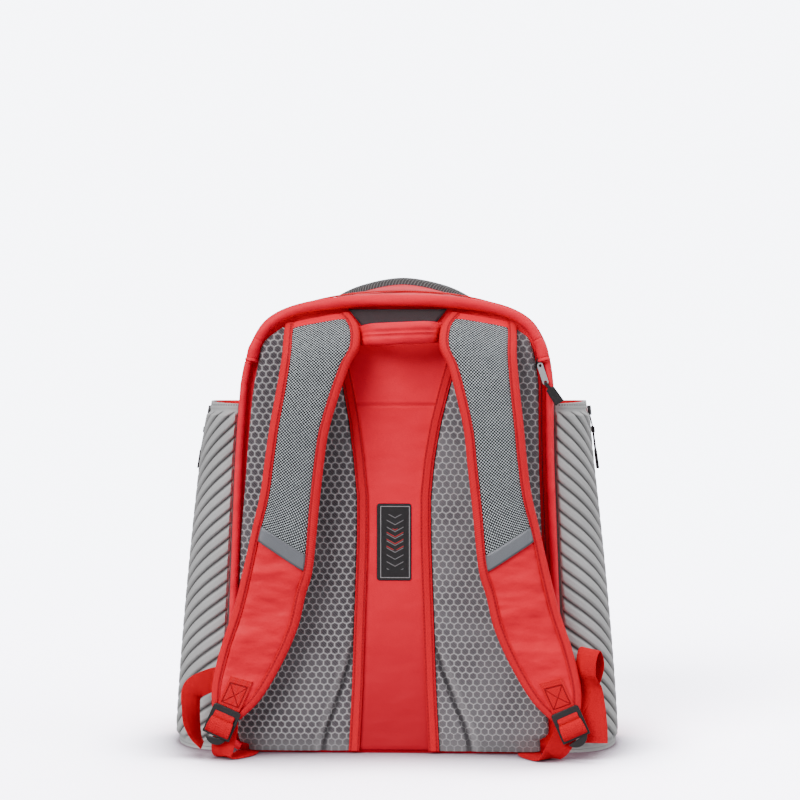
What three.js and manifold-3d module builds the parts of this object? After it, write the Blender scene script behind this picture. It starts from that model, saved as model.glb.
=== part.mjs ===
// A baseball backpack with a bat sleeve on each side, standing on the floor with its harness towards -Y.
// Millimetres, +Z up, +X to the right of someone who looks at the harness.
import * as THREE from 'three';
import { mergeVertices } from 'three/addons/utils/BufferGeometryUtils.js';
import Module from 'manifold-3d';

const wasm = await Module();
wasm.setup();

// Body shell
const bodyHeight = 498; // top of the back panel
const crownRise = 21; // how much higher the gusset's front end is than its back end
const frontHeight = bodyHeight + crownRise;
const shoulderHeight = bodyHeight * 0.8032; // where the straight sides end
const backBaseHalf = 184; // half widths of the gusset at its back and front ends
const backShoulderHalf = 170;
const frontBaseHalf = 168;
const frontShoulderHalf = 142;
const cornerRadius = 26;
const gussetDepth = 150;
const panelFace = -95; // where the back panel's outer face lies
const panelThickness = 3;
const clothWall = 2.2;
const shellBulge = 48;
const shellWall = 3;
const seamGap = 0.3;
const topSway = 4; // the soft top leans this far to the right

// Edges and back
const weltRadius = 7;
const pipingRadius = 4.4;
const weltEndHeight = bodyHeight * 0.8936;
const padThickness = 10;
const padEdge = 3;
const creaseDepth = 5;
const padTop = bodyHeight * 0.9277;
const panelCloth = 2;
const bindingWidth = 11.5;
const bindingThickness = 2.5;
const bindingTop = bodyHeight * 0.8675;
const yokeBottom = padTop;
const yokeThickness = 3;
const yokeBottomHalf = backBaseHalf * 0.2065;
const yokeTopHalf = backBaseHalf * 0.2935;
const seamHeight = bodyHeight * 0.7651;
const labelWidth = 37.5;
const labelHeight = 83.5;
const labelMiddle = bodyHeight * 0.46;
const labelThickness = 1.6;
const labelCorner = 3;

// Haul handle
const handleHalfSpan = backBaseHalf * 0.31;
const handleReach = 33;
const handleTall = 24;
const handleThick = 15;
const handleHeight = bodyHeight * 0.9117;

// Shoulder straps
const strapHarness = backBaseHalf * 0.6848; // distance of the strap's outer edge from the middle, at the top
const strapStandOff = 52; // how far the strap's face stands off the back panel's face
const strapThickness = 12;
const edgeTape = 10;
const strapShift = 3; // both straps hang this far to the right
const reflectorThickness = 0.9;

// Webbing and buckles
const webbingWidth = 25;
const webbingThickness = 1.5;
const buckleWidth = 31;
const buckleLength = 33;
const buckleThickness = 4.5;
const buckleBar = 4;
const slotHeight = 7;
const buckleLip = 9;

// Bat sleeves
const mouthHeight = 383;
const baseReach = 64; // how far the sleeve stands out from the gusset, at its foot and at its mouth
const mouthReach = 41.5;
const sleeveBackSeam = -88;
const sleeveZipLine = 2;
const sleeveFrontSeam = 50;
const sleeveWall = 3;
const sleeveRoundness = 2.4;
const ribPitch = 15.7;
const ribHeight = 2.6;
const ribSlope = 0.76;
const hemWidth = 8;
const footThickness = 3;

// Zips
const zipTapeWidth = 7;
const zipTapeThickness = 1.4;
const mainZipBack = -60;
const mainZipFront = -42;
const laptopZipTop = bodyHeight * 0.8755;
const laptopZipBottom = bodyHeight * 0.3313;
const laptopSliderHeight = bodyHeight * 0.8494;
const sliderLength = 11;
const sliderThickness = 4;
const pullerLength = 25;
const pullerWidth = 6.5;
const pullLength = 22;
const pullWidth = 8.6;
const pullThickness = 3.2;

const red = { color: 0xe04048, roughness: 0.6 };
const redWeb = { color: 0xd42226, roughness: 0.75 };
const redTape = { color: 0xe0282c, roughness: 0.7 };
const grey = { color: 0xa6a4a2, roughness: 0.6 };
const meshGrey = { color: 0x8c8888, roughness: 0.85 };
const strapMesh = { color: 0x777a7e, roughness: 0.9 };
const darkMesh = { color: 0x40363a, roughness: 0.9 };
const reflective = { color: 0x76767a, roughness: 0.35 };
const blackPlastic = { color: 0x373435, roughness: 0.45 };
const blackCloth = { color: 0x1c1a1c, roughness: 0.7 };
const steel = { color: 0xb4b6ba, roughness: 0.3, metalness: 0.9 };

const V = (x, y, z) => new THREE.Vector3(x, y, z);
const mix = THREE.MathUtils.lerp;
const clamp = THREE.MathUtils.clamp;
const object = new THREE.Group();

function sway(z) {
  return topSway * THREE.MathUtils.smoothstep(z, shoulderHeight * 0.75, bodyHeight * 0.93);
}

// Adds a closed geometry as a named piece, leaning with the bag.
function addPiece(name, geometry, finish, parent = object) {
  const position = geometry.attributes.position;
  if (parent === object) {
    for (let i = 0; i < position.count; i += 1) position.setX(i, position.getX(i) + sway(position.getZ(i)));
  }
  geometry.computeVertexNormals();
  const mesh = new THREE.Mesh(geometry, new THREE.MeshStandardMaterial(finish));
  mesh.name = name;
  parent.add(mesh);
  return mesh;
}

// Welds loose triangles, drops the flat ones and turns the body's faces outwards.
function weld(triangles) {
  const loose = new THREE.BufferGeometry();
  const numbers = triangles.flatMap((p) => [p.x, p.y, p.z]);
  loose.setAttribute('position', new THREE.Float32BufferAttribute(numbers, 3));
  const welded = mergeVertices(loose, 1e-3);
  const index = welded.index.array;
  const position = welded.attributes.position;
  const corner = (i) => new THREE.Vector3().fromBufferAttribute(position, i);
  const kept = [];
  let volume = 0;
  for (let i = 0; i < index.length; i += 3) {
    const [a, b, c] = [index[i], index[i + 1], index[i + 2]];
    if (a === b || b === c || a === c) continue;
    kept.push(a, b, c);
    volume += corner(a).dot(corner(b).cross(corner(c)));
  }
  if (volume < 0) kept.reverse();
  welded.setIndex(kept);
  return welded;
}

// Joins two lines of points, which may hold different numbers of points, with a band of triangles.
function band(a, b, out) {
  const reach = (line) => {
    const sums = [0];
    for (let k = 1; k < line.length; k += 1) sums.push(sums[k - 1] + line[k].distanceTo(line[k - 1]));
    return sums;
  };
  const [alongA, alongB] = [reach(a), reach(b)];
  let i = 0;
  let j = 0;
  while (i < a.length - 1 || j < b.length - 1) {
    const nextA = i < a.length - 1 ? alongA[i + 1] / alongA.at(-1) : Infinity;
    const nextB = j < b.length - 1 ? alongB[j + 1] / alongB.at(-1) : Infinity;
    if (nextA <= nextB) {
      out.push(a[i], a[i + 1], b[j]);
      i += 1;
    } else {
      out.push(a[i], b[j + 1], b[j]);
      j += 1;
    }
  }
}

function face(grid, loop, flip, out) {
  const columns = grid[0].length;
  for (let r = 0; r < grid.length - 1; r += 1) {
    for (let c = 0; c < (loop ? columns : columns - 1); c += 1) {
      const d = (c + 1) % columns;
      const [p, q, s, t] = [grid[r][c], grid[r][d], grid[r + 1][c], grid[r + 1][d]];
      if (flip) out.push(p, s, q, q, s, t);
      else out.push(p, q, s, q, t, s);
    }
  }
}

// A wall between two grids of points: sheets, pads, and with loop the rings that close on themselves.
function wall(front, back, { loop = false, capped = false } = {}) {
  const out = [];
  face(front, loop, false, out);
  face(back, loop, true, out);
  const close = (line) => (loop ? [...line, line[0]] : line);
  band(close(back[0]), close(front[0]), out);
  if (capped) {
    for (const [rim, flip] of [[front.at(-1), false], [back.at(-1), true]]) {
      const middle = rim.reduce((sum, p) => sum.add(p), V(0, 0, 0)).divideScalar(rim.length);
      rim.forEach((p, i) => {
        const q = rim[(i + 1) % rim.length];
        out.push(...(flip ? [q, p, middle] : [p, q, middle]));
      });
    }
  } else {
    band(close(front.at(-1)), close(back.at(-1)), out);
  }
  if (!loop) {
    band(front.map((row) => row[0]), back.map((row) => row[0]), out);
    band(back.map((row) => row.at(-1)), front.map((row) => row.at(-1)), out);
  }
  return weld(out);
}

// A solid through rings of points, closed by a fan at each end.
function loft(rings) {
  const out = [];
  face(rings, true, false, out);
  for (const [ring, flip] of [[rings[0], true], [rings.at(-1), false]]) {
    for (let i = 1; i < ring.length - 1; i += 1) {
      out.push(...(flip ? [ring[0], ring[i + 1], ring[i]] : [ring[0], ring[i], ring[i + 1]]));
    }
  }
  return weld(out);
}

// A flat strip through rows of { at, across, normal }: its back face lies on the points.
function ribbon(rows, width, thickness) {
  const edge = (row, side, lift) => row.at.clone()
    .addScaledVector(row.across, side * width * 0.5)
    .addScaledVector(row.normal, lift);
  return loft(rows.map((row) => {
    const ring = [edge(row, -1, 0), edge(row, 1, 0), edge(row, 1, thickness), edge(row, -1, thickness)];
    const sunk = Math.max(0, seamGap - Math.min(...ring.map((p) => p.z)));
    return ring.map((p) => p.add(V(0, 0, sunk)));
  }));
}

// Direction of a route at its i-th point.
const alongRoute = (points, i) => points[Math.min(i + 1, points.length - 1)].clone()
  .sub(points[Math.max(i - 1, 0)])
  .normalize();

// Directions along a route, and with them the face normals of a strip that lies across it.
function stripRows(points, acrossList, side) {
  return points.map((at, i) => {
    const along = alongRoute(points, i);
    const across = acrossList[i].clone();
    across.addScaledVector(along, -across.dot(along)).normalize();
    return { at, across, normal: along.clone().cross(across).multiplyScalar(side).normalize() };
  });
}

// A round rod along a route in the plane of the back.
function rod(points, radii, sides) {
  return loft(points.map((at, i) => {
    const along = alongRoute(points, i);
    const out = V(along.z, 0, -along.x);
    return Array.from({ length: sides }, (unused, k) => {
      const turn = (k / sides) * Math.PI * 2 + Math.PI / 2;
      return at.clone()
        .addScaledVector(out, radii[i] * Math.cos(turn))
        .add(V(0, radii[i] * Math.sin(turn), 0));
    });
  }));
}

// A plate cut from an outline in X and Z, with its outer face at y and its thickness behind it.
function plate(outlinePoints, y, thickness) {
  const shape = new THREE.Shape(outlinePoints.map((p) => new THREE.Vector2(p.x, p.z)));
  const geometry = new THREE.ExtrudeGeometry(shape, { depth: thickness, bevelEnabled: false });
  geometry.rotateX(Math.PI / 2);
  geometry.translate(0, y + thickness, 0);
  geometry.deleteAttribute('normal');
  geometry.deleteAttribute('uv');
  return mergeVertices(geometry, 1e-4);
}

function toManifold(geometry) {
  const bare = geometry.clone();
  bare.deleteAttribute('normal');
  bare.deleteAttribute('uv');
  const merged = mergeVertices(bare, 1e-4);
  return new wasm.Manifold(new wasm.Mesh({
    numProp: 3,
    vertProperties: Float32Array.from(merged.attributes.position.array),
    triVerts: Uint32Array.from(merged.index.array),
  }));
}

function fromManifold(solid) {
  const mesh = solid.getMesh();
  const geometry = new THREE.BufferGeometry();
  geometry.setAttribute('position', new THREE.BufferAttribute(mesh.vertProperties, 3));
  geometry.setIndex(new THREE.BufferAttribute(mesh.triVerts, 1));
  return geometry;
}

// Body: one loop of points in X and Z for each depth, squarish at the back and round at the front.
// across is a share of the shoulder half width, up a share of the rise above the shoulder.
const crownRows = [
  { backAcross: 1.0, backUp: 0.0, frontAcross: 1.0, frontUp: 0.0 },
  { backAcross: 0.975, backUp: 0.26, frontAcross: 0.93, frontUp: 0.24 },
  { backAcross: 0.935, backUp: 0.49, frontAcross: 0.83, frontUp: 0.46 },
  { backAcross: 0.84, backUp: 0.73, frontAcross: 0.7, frontUp: 0.655 },
  { backAcross: 0.66, backUp: 0.885, frontAcross: 0.53, frontUp: 0.815 },
  { backAcross: 0.37, backUp: 0.975, frontAcross: 0.31, frontUp: 0.935 },
  { backAcross: 0.0, backUp: 1.0, frontAcross: 0.0, frontUp: 1.0 },
];
const sideSteps = 5;
const cornerSteps = 4;
const crownSteps = 8;
const gussetBack = panelFace + panelThickness + seamGap;
const gussetFront = gussetBack + gussetDepth;
const depthShare = (y) => clamp((y - gussetBack) / gussetDepth, 0, 1);
const baseHalf = (y) => mix(backBaseHalf, frontBaseHalf, depthShare(y));
const shoulderHalf = (y) => mix(backShoulderHalf, frontShoulderHalf, depthShare(y));

// The curve runs on past the middle, so that the top comes out round and not peaked.
function crown(across, up, half, top) {
  const points = crownRows.map((row) => new THREE.Vector2(
    row[across] * half, mix(shoulderHeight, top, row[up])));
  const beyond = points.at(-2).clone();
  beyond.x *= -1;
  const curve = new THREE.SplineCurve([...points, beyond]);
  const halfWay = (points.length - 1) / points.length;
  return Array.from({ length: crownSteps + 1 }, (unused, i) => curve.getPoint((i / crownSteps) * halfWay));
}

const backCrown = crown('backAcross', 'backUp', backShoulderHalf, bodyHeight);
const frontCrown = crown('frontAcross', 'frontUp', frontShoulderHalf, frontHeight);

function bodyLoop(y) {
  const share = depthShare(y);
  const base = baseHalf(y);
  const right = [V(0, y, 0), V((base - cornerRadius) * 0.5, y, 0), V(base - cornerRadius, y, 0)];
  for (let i = 1; i <= cornerSteps; i += 1) {
    const turn = (i / cornerSteps) * Math.PI * 0.5;
    right.push(V(
      base - cornerRadius + cornerRadius * Math.sin(turn), y, cornerRadius - cornerRadius * Math.cos(turn)));
  }
  for (let i = 1; i < sideSteps; i += 1) {
    right.push(V(
      mix(base, shoulderHalf(y), i / sideSteps), y, mix(cornerRadius, shoulderHeight, i / sideSteps)));
  }
  backCrown.forEach((p, i) => {
    right.push(V(mix(p.x, frontCrown[i].x, share), y, mix(p.y, frontCrown[i].y, share)));
  });
  const left = right.slice(1, -1).reverse().map((p) => V(-p.x, p.y, p.z));
  return [...right, ...left];
}

const backLoop = bodyLoop(gussetBack);

// Moves a closed loop inwards, in its own plane.
function inset(loop, distance) {
  return loop.map((p, i) => {
    const before = loop[(i + loop.length - 1) % loop.length];
    const after = loop[(i + 1) % loop.length];
    const d1 = p.clone().sub(before).normalize();
    const d2 = after.clone().sub(p).normalize();
    const inward = V(-d1.z - d2.z, 0, d1.x + d2.x).normalize();
    const spread = Math.max(0.3, inward.dot(V(-d1.z, 0, d1.x)));
    return p.clone().addScaledVector(inward, distance / spread);
  });
}

function sideX(z, y) {
  const share = clamp((z - cornerRadius) / (shoulderHeight - cornerRadius), 0, 1);
  return mix(baseHalf(y), shoulderHalf(y), share);
}

// Half width of the back loop at a height, moved inwards by a distance.
function backRoom(z, distance) {
  if (z < cornerRadius) {
    const drop = cornerRadius - Math.max(z, distance);
    return backBaseHalf - cornerRadius + Math.sqrt(Math.max(0, (cornerRadius - distance) ** 2 - drop ** 2));
  }
  const side = backLoop.slice(2 + cornerSteps, 2 + cornerSteps + sideSteps + crownSteps);
  const next = clamp(side.findIndex((p) => p.z > z), 1, side.length - 1);
  const [low, high] = [side[next - 1], side[next]];
  return mix(low.x, high.x, (z - low.z) / (high.z - low.z)) - distance;
}

const gussetStations = [gussetBack, mainZipBack, mainZipFront, 0, gussetFront * 0.6, gussetFront];
const gussetLoops = gussetStations.map(bodyLoop);
const gussetInner = gussetLoops.map((loop) => inset(loop, clothWall));
addPiece('body_gusset', wall(gussetLoops, gussetInner, { loop: true }), red);

addPiece('back_panel', plate(backLoop, panelFace, panelThickness), red);

// The moulded front: each row is a copy of the gusset's front loop, wider or narrower, further out.
const shellRows = [
  { out: 0.0, wide: 1.0, top: 1.0, lift: 0.0 },
  { out: 0.1, wide: 1.035, top: 1.013, lift: 0.001 },
  { out: 0.35, wide: 1.05, top: 1.017, lift: 0.006 },
  { out: 0.65, wide: 1.02, top: 1.0, lift: 0.018 },
  { out: 0.88, wide: 0.93, top: 0.95, lift: 0.045 },
  { out: 0.98, wide: 0.8, top: 0.86, lift: 0.1 },
  { out: 1.0, wide: 0.5, top: 0.68, lift: 0.3 },
];
const rimLoop = bodyLoop(gussetFront);
function shellRing(row, inward) {
  const half = frontBaseHalf;
  const y = gussetFront + seamGap + row.out * shellBulge - (row.out > 0.5 ? inward : 0);
  const low = row.lift * frontHeight + inward;
  const high = row.top * frontHeight - inward;
  return rimLoop.map((p) => V(
    p.x * (row.wide - inward / half), y, mix(low, high, p.z / frontHeight)));
}
addPiece('front_shell', wall(
  shellRows.map((row) => shellRing(row, 0)), shellRows.map((row) => shellRing(row, shellWall)),
  { loop: true, capped: true }), grey);

// The main zip runs over the top of the gusset, from shoulder to shoulder.
const zipFirst = 3 + cornerSteps + sideSteps - 1;
const zipLast = zipFirst + crownSteps * 2;
const zipLine = (y, lift) => inset(bodyLoop(y), -lift).slice(zipFirst, zipLast + 1);
addPiece('main_zip_tape', wall(
  [zipLine(mainZipBack, seamGap + zipTapeThickness), zipLine(mainZipFront, seamGap + zipTapeThickness)],
  [zipLine(mainZipBack, seamGap), zipLine(mainZipFront, seamGap)]), redTape);

// Rolled welt over the top of the back, and thin piping down its sides.
const edgeRoute = (distance, y, test) => inset(backLoop, distance)
  .map((p) => V(p.x, y, p.z))
  .filter(test);
const weltY = panelFace - seamGap - weltRadius;
const weltRoute = edgeRoute(weltRadius, weltY, (p) => p.z > weltEndHeight);
const weltRadii = weltRoute.map((p, i) => {
  const fromEnd = Math.min(i, weltRoute.length - 1 - i);
  return fromEnd === 0 ? weltRadius * 0.72 : weltRadius * (fromEnd === 1 ? 0.97 : 1);
});
addPiece('top_welt', rod(weltRoute, weltRadii, 8), red);

const pipingY = panelFace - seamGap - pipingRadius;
for (const [side, name] of [[-1, 'left'], [1, 'right']]) {
  const route = edgeRoute(pipingRadius, pipingY, (p) => p.x > 0 && p.z < weltEndHeight - pipingRadius)
    .filter((p) => p.z > cornerRadius * 0.4)
    .map((p) => V(side * p.x, p.y, p.z));
  const tip = weltRoute[0].clone();
  route.push(V(side * (Math.abs(tip.x) + weltRadius - pipingRadius), pipingY, tip.z - seamGap * 2));
  addPiece(`side_piping_${name}`, rod(route, route.map(() => pipingRadius), 6), red);
}

// Back pads. up is a share of the body's height, outer and inner are shares of the base half width.
const padRows = [
  { up: 0.006, outer: 0.85, inner: 0.268 },
  { up: 0.02, outer: 0.905, inner: 0.266 },
  { up: 0.06, outer: 0.93, inner: 0.26 },
  { up: 0.15, outer: 0.932, inner: 0.248 },
  { up: 0.265, outer: 0.928, inner: 0.238 },
  { up: 0.365, outer: 0.915, inner: 0.228 },
  { up: 0.47, outer: 0.905, inner: 0.219 },
  { up: 0.56, outer: 0.885, inner: 0.219 },
  { up: 0.64, outer: 0.87, inner: 0.24 },
  { up: 0.72, outer: 0.858, inner: 0.272 },
  { up: 0.79, outer: 0.845, inner: 0.312 },
  { up: 0.85, outer: 0.82, inner: 0.352 },
  { up: 0.895, outer: 0.79, inner: 0.41 },
  { up: 1.0, outer: 0.68, inner: 0.54 },
];
const creaseTop = 0.265;
const padColumns = [0, 0.045, 0.1, 0.3, 0.6, 0.86, 0.96, 1];
const padZipRoom = { left: 0.6, right: zipTapeWidth + seamGap * 2 };

function padEdges(row, name) {
  const z = row.up < 1 ? row.up * bodyHeight : padTop;
  const room = backRoom(z, pipingRadius * 2 + seamGap + padZipRoom[name]);
  return { z, outer: Math.min(row.outer * backBaseHalf, room), inner: row.inner * backBaseHalf };
}

function padPoint(row, column, name, side, lifted) {
  const { z, outer, inner } = padEdges(row, name);
  const fall = clamp((creaseTop - row.up) / creaseTop, 0, 1);
  const shift = column > 0 && column < 0.2 ? fall * 0.15 : 0;
  const across = column + shift;
  const ends = Math.min(1, Math.min(row.up * bodyHeight, Math.max(padTop - z, 0)) / (padThickness * 2));
  const rim = 1 - Math.abs(2 * across - 1) ** 6;
  const full = padEdge + (padThickness - padEdge) * Math.sqrt(clamp(rim, 0, 1) * ends);
  const inCrease = column < 0.06 && fall > 0;
  const thick = inCrease ? Math.max(padEdge, full - creaseDepth) : full;
  return V(side * mix(inner, outer, across), panelFace - seamGap - (lifted ? thick : 0), z);
}

for (const [side, name] of [[-1, 'left'], [1, 'right']]) {
  const grid = (lifted) => padRows.map((row) => padColumns.map((c) => padPoint(row, c, name, side, lifted)));
  addPiece(`back_pad_${name}`, wall(grid(true), grid(false)), meshGrey);
}

// Centre channel: a red panel with a lapped seam, and a bound edge along each pad.
const channelRows = padRows.slice(0, -1).map((row) => ({
  z: row.up * bodyHeight, half: row.inner * backBaseHalf }));
const channelHalf = (z) => {
  const next = clamp(channelRows.findIndex((row) => row.z > z), 1, channelRows.length - 1);
  const [low, high] = [channelRows[next - 1], channelRows[next]];
  return mix(low.half, high.half, (z - low.z) / (high.z - low.z));
};
const panelRows = [
  ...channelRows.filter((row) => row.z < seamHeight - 4).map((row) => ({ ...row, thick: panelCloth })),
  { z: seamHeight - 1, half: channelHalf(seamHeight), thick: panelCloth },
  { z: seamHeight, half: channelHalf(seamHeight), thick: panelCloth + 1.2 },
  ...channelRows.filter((row) => row.z > seamHeight && row.z < bindingTop)
    .map((row) => ({ ...row, thick: panelCloth })),
  { z: yokeBottom - seamGap, half: handleHalfSpan * 1.15, thick: panelCloth },
];
const channelGrid = (lifted) => panelRows.map((row) => [-1, -0.5, 0, 0.5, 1].map((c) => V(
  c * (row.half - seamGap), panelFace - seamGap - (lifted ? row.thick : 0), row.z)));
addPiece('centre_panel', wall(channelGrid(true), channelGrid(false)), red);

const bindingLift = panelFace - seamGap - panelCloth - 1.2 - seamGap;
const bindingHeights = [
  ...channelRows.map((row) => row.z).filter((z) => z < bindingTop - bindingWidth * 0.7), bindingTop];
for (const [side, name] of [[-1, 'left'], [1, 'right']]) {
  const rings = bindingHeights.map((z) => {
    const outer = channelHalf(Math.min(z, bindingTop)) - seamGap;
    const y = bindingLift;
    const inner = outer - bindingWidth;
    return [
      V(side * outer, y, z), V(side * inner, y, z),
      V(side * inner, y - bindingThickness * 0.7, z), V(side * outer, y - bindingThickness, z),
    ];
  });
  addPiece(`channel_binding_${name}`, loft(rings), redTape);
}

const yokeTop = bodyHeight - weltRadius * 2 - 2;
addPiece('yoke_panel', plate([
  V(-yokeBottomHalf, 0, yokeBottom), V(yokeBottomHalf, 0, yokeBottom),
  V(yokeTopHalf, 0, yokeTop - 4), V(yokeTopHalf * 0.5, 0, yokeTop),
  V(-yokeTopHalf * 0.5, 0, yokeTop), V(-yokeTopHalf, 0, yokeTop - 4),
], panelFace - seamGap - yokeThickness, yokeThickness), darkMesh);

function roundedRect(halfWide, halfTall, radius, path = new THREE.Shape()) {
  path.absarc(halfWide - radius, halfTall - radius, radius, 0, Math.PI * 0.5);
  path.absarc(radius - halfWide, halfTall - radius, radius, Math.PI * 0.5, Math.PI);
  path.absarc(radius - halfWide, radius - halfTall, radius, Math.PI, Math.PI * 1.5);
  path.absarc(halfWide - radius, radius - halfTall, radius, Math.PI * 1.5, Math.PI * 2);
  return path;
}

const labelPoints = roundedRect(labelWidth / 2, labelHeight / 2, labelCorner).getPoints(3)
  .slice(0, -1)
  .map((p) => V(p.x, 0, p.y + labelMiddle));
addPiece('label_patch', plate(
  labelPoints, panelFace - seamGap * 2 - panelCloth - labelThickness, labelThickness), blackCloth);

// Haul handle: a padded tube that bows out from the yoke and goes flat where it is sewn in.
const handleRows = [
  { along: -1.0, out: 0.042, thick: 0.24, tall: 0.8 },
  { along: -0.84, out: 0.14, thick: 0.26, tall: 0.84 },
  { along: -0.69, out: 0.42, thick: 0.5, tall: 0.93 },
  { along: -0.5, out: 0.84, thick: 0.92, tall: 1.0 },
  { along: -0.2, out: 0.99, thick: 1.0, tall: 1.0 },
  { along: 0.2, out: 0.99, thick: 1.0, tall: 1.0 },
  { along: 0.5, out: 0.84, thick: 0.92, tall: 1.0 },
  { along: 0.69, out: 0.42, thick: 0.5, tall: 0.93 },
  { along: 0.84, out: 0.14, thick: 0.26, tall: 0.84 },
  { along: 1.0, out: 0.042, thick: 0.24, tall: 0.8 },
];
const handleSides = 10;
const handleCentres = handleRows.map((row) => V(
  row.along * handleHalfSpan + strapShift, panelFace - yokeThickness - row.out * handleReach, handleHeight));
addPiece('haul_handle', loft(handleRows.map((row, i) => {
  const at = handleCentres[i];
  const after = handleCentres[Math.min(i + 1, handleCentres.length - 1)];
  const along = after.clone().sub(handleCentres[Math.max(i - 1, 0)]).normalize();
  const out = V(along.y, -along.x, 0);
  return Array.from({ length: handleSides }, (unused, k) => {
    const turn = (k / handleSides) * Math.PI * 2;
    return at.clone()
      .addScaledVector(out, Math.cos(turn) * row.thick * handleThick * 0.5)
      .add(V(0, 0, Math.sin(turn) * row.tall * handleTall * 0.5));
  });
})), red);

// Shoulder straps. outer and inner are shares of the harness width, outerUp and innerUp of the body's height,
// out of the stand-off and thick of the strap's thickness. The rows tilt with the sewn joints.
const strapRows = [
  { outer: 1.0, outerUp: 0.936, inner: 0.437, innerUp: 0.962, out: 0.121, thick: 0.5 },
  { outer: 1.0, outerUp: 0.906, inner: 0.353, innerUp: 0.932, out: 0.45, thick: 0.75 },
  { outer: 0.997, outerUp: 0.871, inner: 0.341, innerUp: 0.888, out: 0.73, thick: 1.0 },
  { outer: 1.004, outerUp: 0.84, inner: 0.417, innerUp: 0.843, out: 0.865, thick: 1.0 },
  { outer: 1.028, outerUp: 0.787, inner: 0.492, innerUp: 0.779, out: 0.96, thick: 1.0 },
  { outer: 1.071, outerUp: 0.709, inner: 0.567, innerUp: 0.703, out: 1.0, thick: 1.0 },
  { outer: 1.103, outerUp: 0.643, inner: 0.606, innerUp: 0.625, out: 0.98, thick: 1.0 },
  { outer: 1.143, outerUp: 0.57, inner: 0.647, innerUp: 0.534, out: 0.94, thick: 1.0 },
  { outer: 1.198, outerUp: 0.51, inner: 0.69, innerUp: 0.424, out: 0.9, thick: 1.0 },
  { outer: 1.212, outerUp: 0.496, inner: 0.7, innerUp: 0.408, out: 0.895, thick: 1.0 },
  { outer: 1.226, outerUp: 0.482, inner: 0.71, innerUp: 0.392, out: 0.885, thick: 1.0 },
  { outer: 1.298, outerUp: 0.402, inner: 0.764, innerUp: 0.349, out: 0.83, thick: 1.0 },
  { outer: 1.379, outerUp: 0.321, inner: 0.829, innerUp: 0.281, out: 0.77, thick: 0.95 },
  { outer: 1.492, outerUp: 0.235, inner: 0.956, innerUp: 0.207, out: 0.73, thick: 0.85 },
  { outer: 1.56, outerUp: 0.161, inner: 1.138, innerUp: 0.129, out: 0.73, thick: 0.7 },
  { outer: 1.563, outerUp: 0.112, inner: 1.313, innerUp: 0.084, out: 0.73, thick: 0.55 },
];
const jointRow = 9;

// Frames of a strap, from top to end: corners of each row, and its directions across and outwards.
function strapFrames(side) {
  const rows = strapRows.map((row) => {
    const y = panelFace - row.out * strapStandOff;
    const thick = row.thick * strapThickness;
    const outer = V(side * row.outer * strapHarness + strapShift, y, row.outerUp * bodyHeight);
    const inner = V(side * row.inner * strapHarness + strapShift, y, row.innerUp * bodyHeight);
    return { outer, inner, thick, middle: outer.clone().add(inner).multiplyScalar(0.5) };
  });
  rows.forEach((row, i) => {
    const below = rows[Math.min(i + 1, rows.length - 1)].middle;
    const along = below.clone().sub(rows[Math.max(i - 1, 0)].middle).normalize();
    row.across = row.outer.clone().sub(row.inner);
    row.width = row.across.length();
    row.across.normalize();
    row.normal = row.across.clone().cross(along).multiplyScalar(side).normalize();
    if (row.normal.y > 0) row.normal.negate();
  });
  return rows;
}

// A point of a strap row: distance from its inner edge, and lift above its face (negative goes in).
const strapPoint = (row, distance, lift) => row.inner.clone()
  .addScaledVector(row.across, distance)
  .addScaledVector(row.normal, lift);

const padLoop = (row) => {
  const [near, far] = [edgeTape + seamGap, row.width - edgeTape - seamGap];
  const t = row.thick;
  return [
    strapPoint(row, near, -t * 0.16), strapPoint(row, mix(near, far, 0.22), 0),
    strapPoint(row, mix(near, far, 0.78), 0), strapPoint(row, far, -t * 0.16),
    strapPoint(row, far, -t * 0.84), strapPoint(row, mix(near, far, 0.78), -t),
    strapPoint(row, mix(near, far, 0.22), -t), strapPoint(row, near, -t * 0.84),
  ];
};

const tapeLoop = (row, start, way) => {
  const t = row.thick;
  const at = (share, depth) => strapPoint(row, start + way * share * edgeTape, -t * depth);
  return [at(0, 0.1), at(0.6, 0.12), at(1, 0.38), at(1, 0.62), at(0.6, 0.88), at(0, 0.9)];
};

const lowered = (row, distance) => ({
  ...row,
  outer: row.outer.clone().add(V(0, 0, -distance)),
  inner: row.inner.clone().add(V(0, 0, -distance)),
});

// Sizes of the buckle's own plane at the end of a strap.
function endFrame(rows) {
  const last = rows.at(-1);
  const across = last.across.clone();
  const normal = last.normal.clone();
  const up = V(0, 0, 1);
  up.addScaledVector(across, -up.dot(across)).addScaledVector(normal, -up.dot(normal)).normalize();
  return { origin: last.middle, across, normal, up };
}
const inFrame = (frame, across, up, lift) => frame.origin.clone()
  .addScaledVector(frame.across, across)
  .addScaledVector(frame.up, up)
  .addScaledVector(frame.normal, lift);

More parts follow.
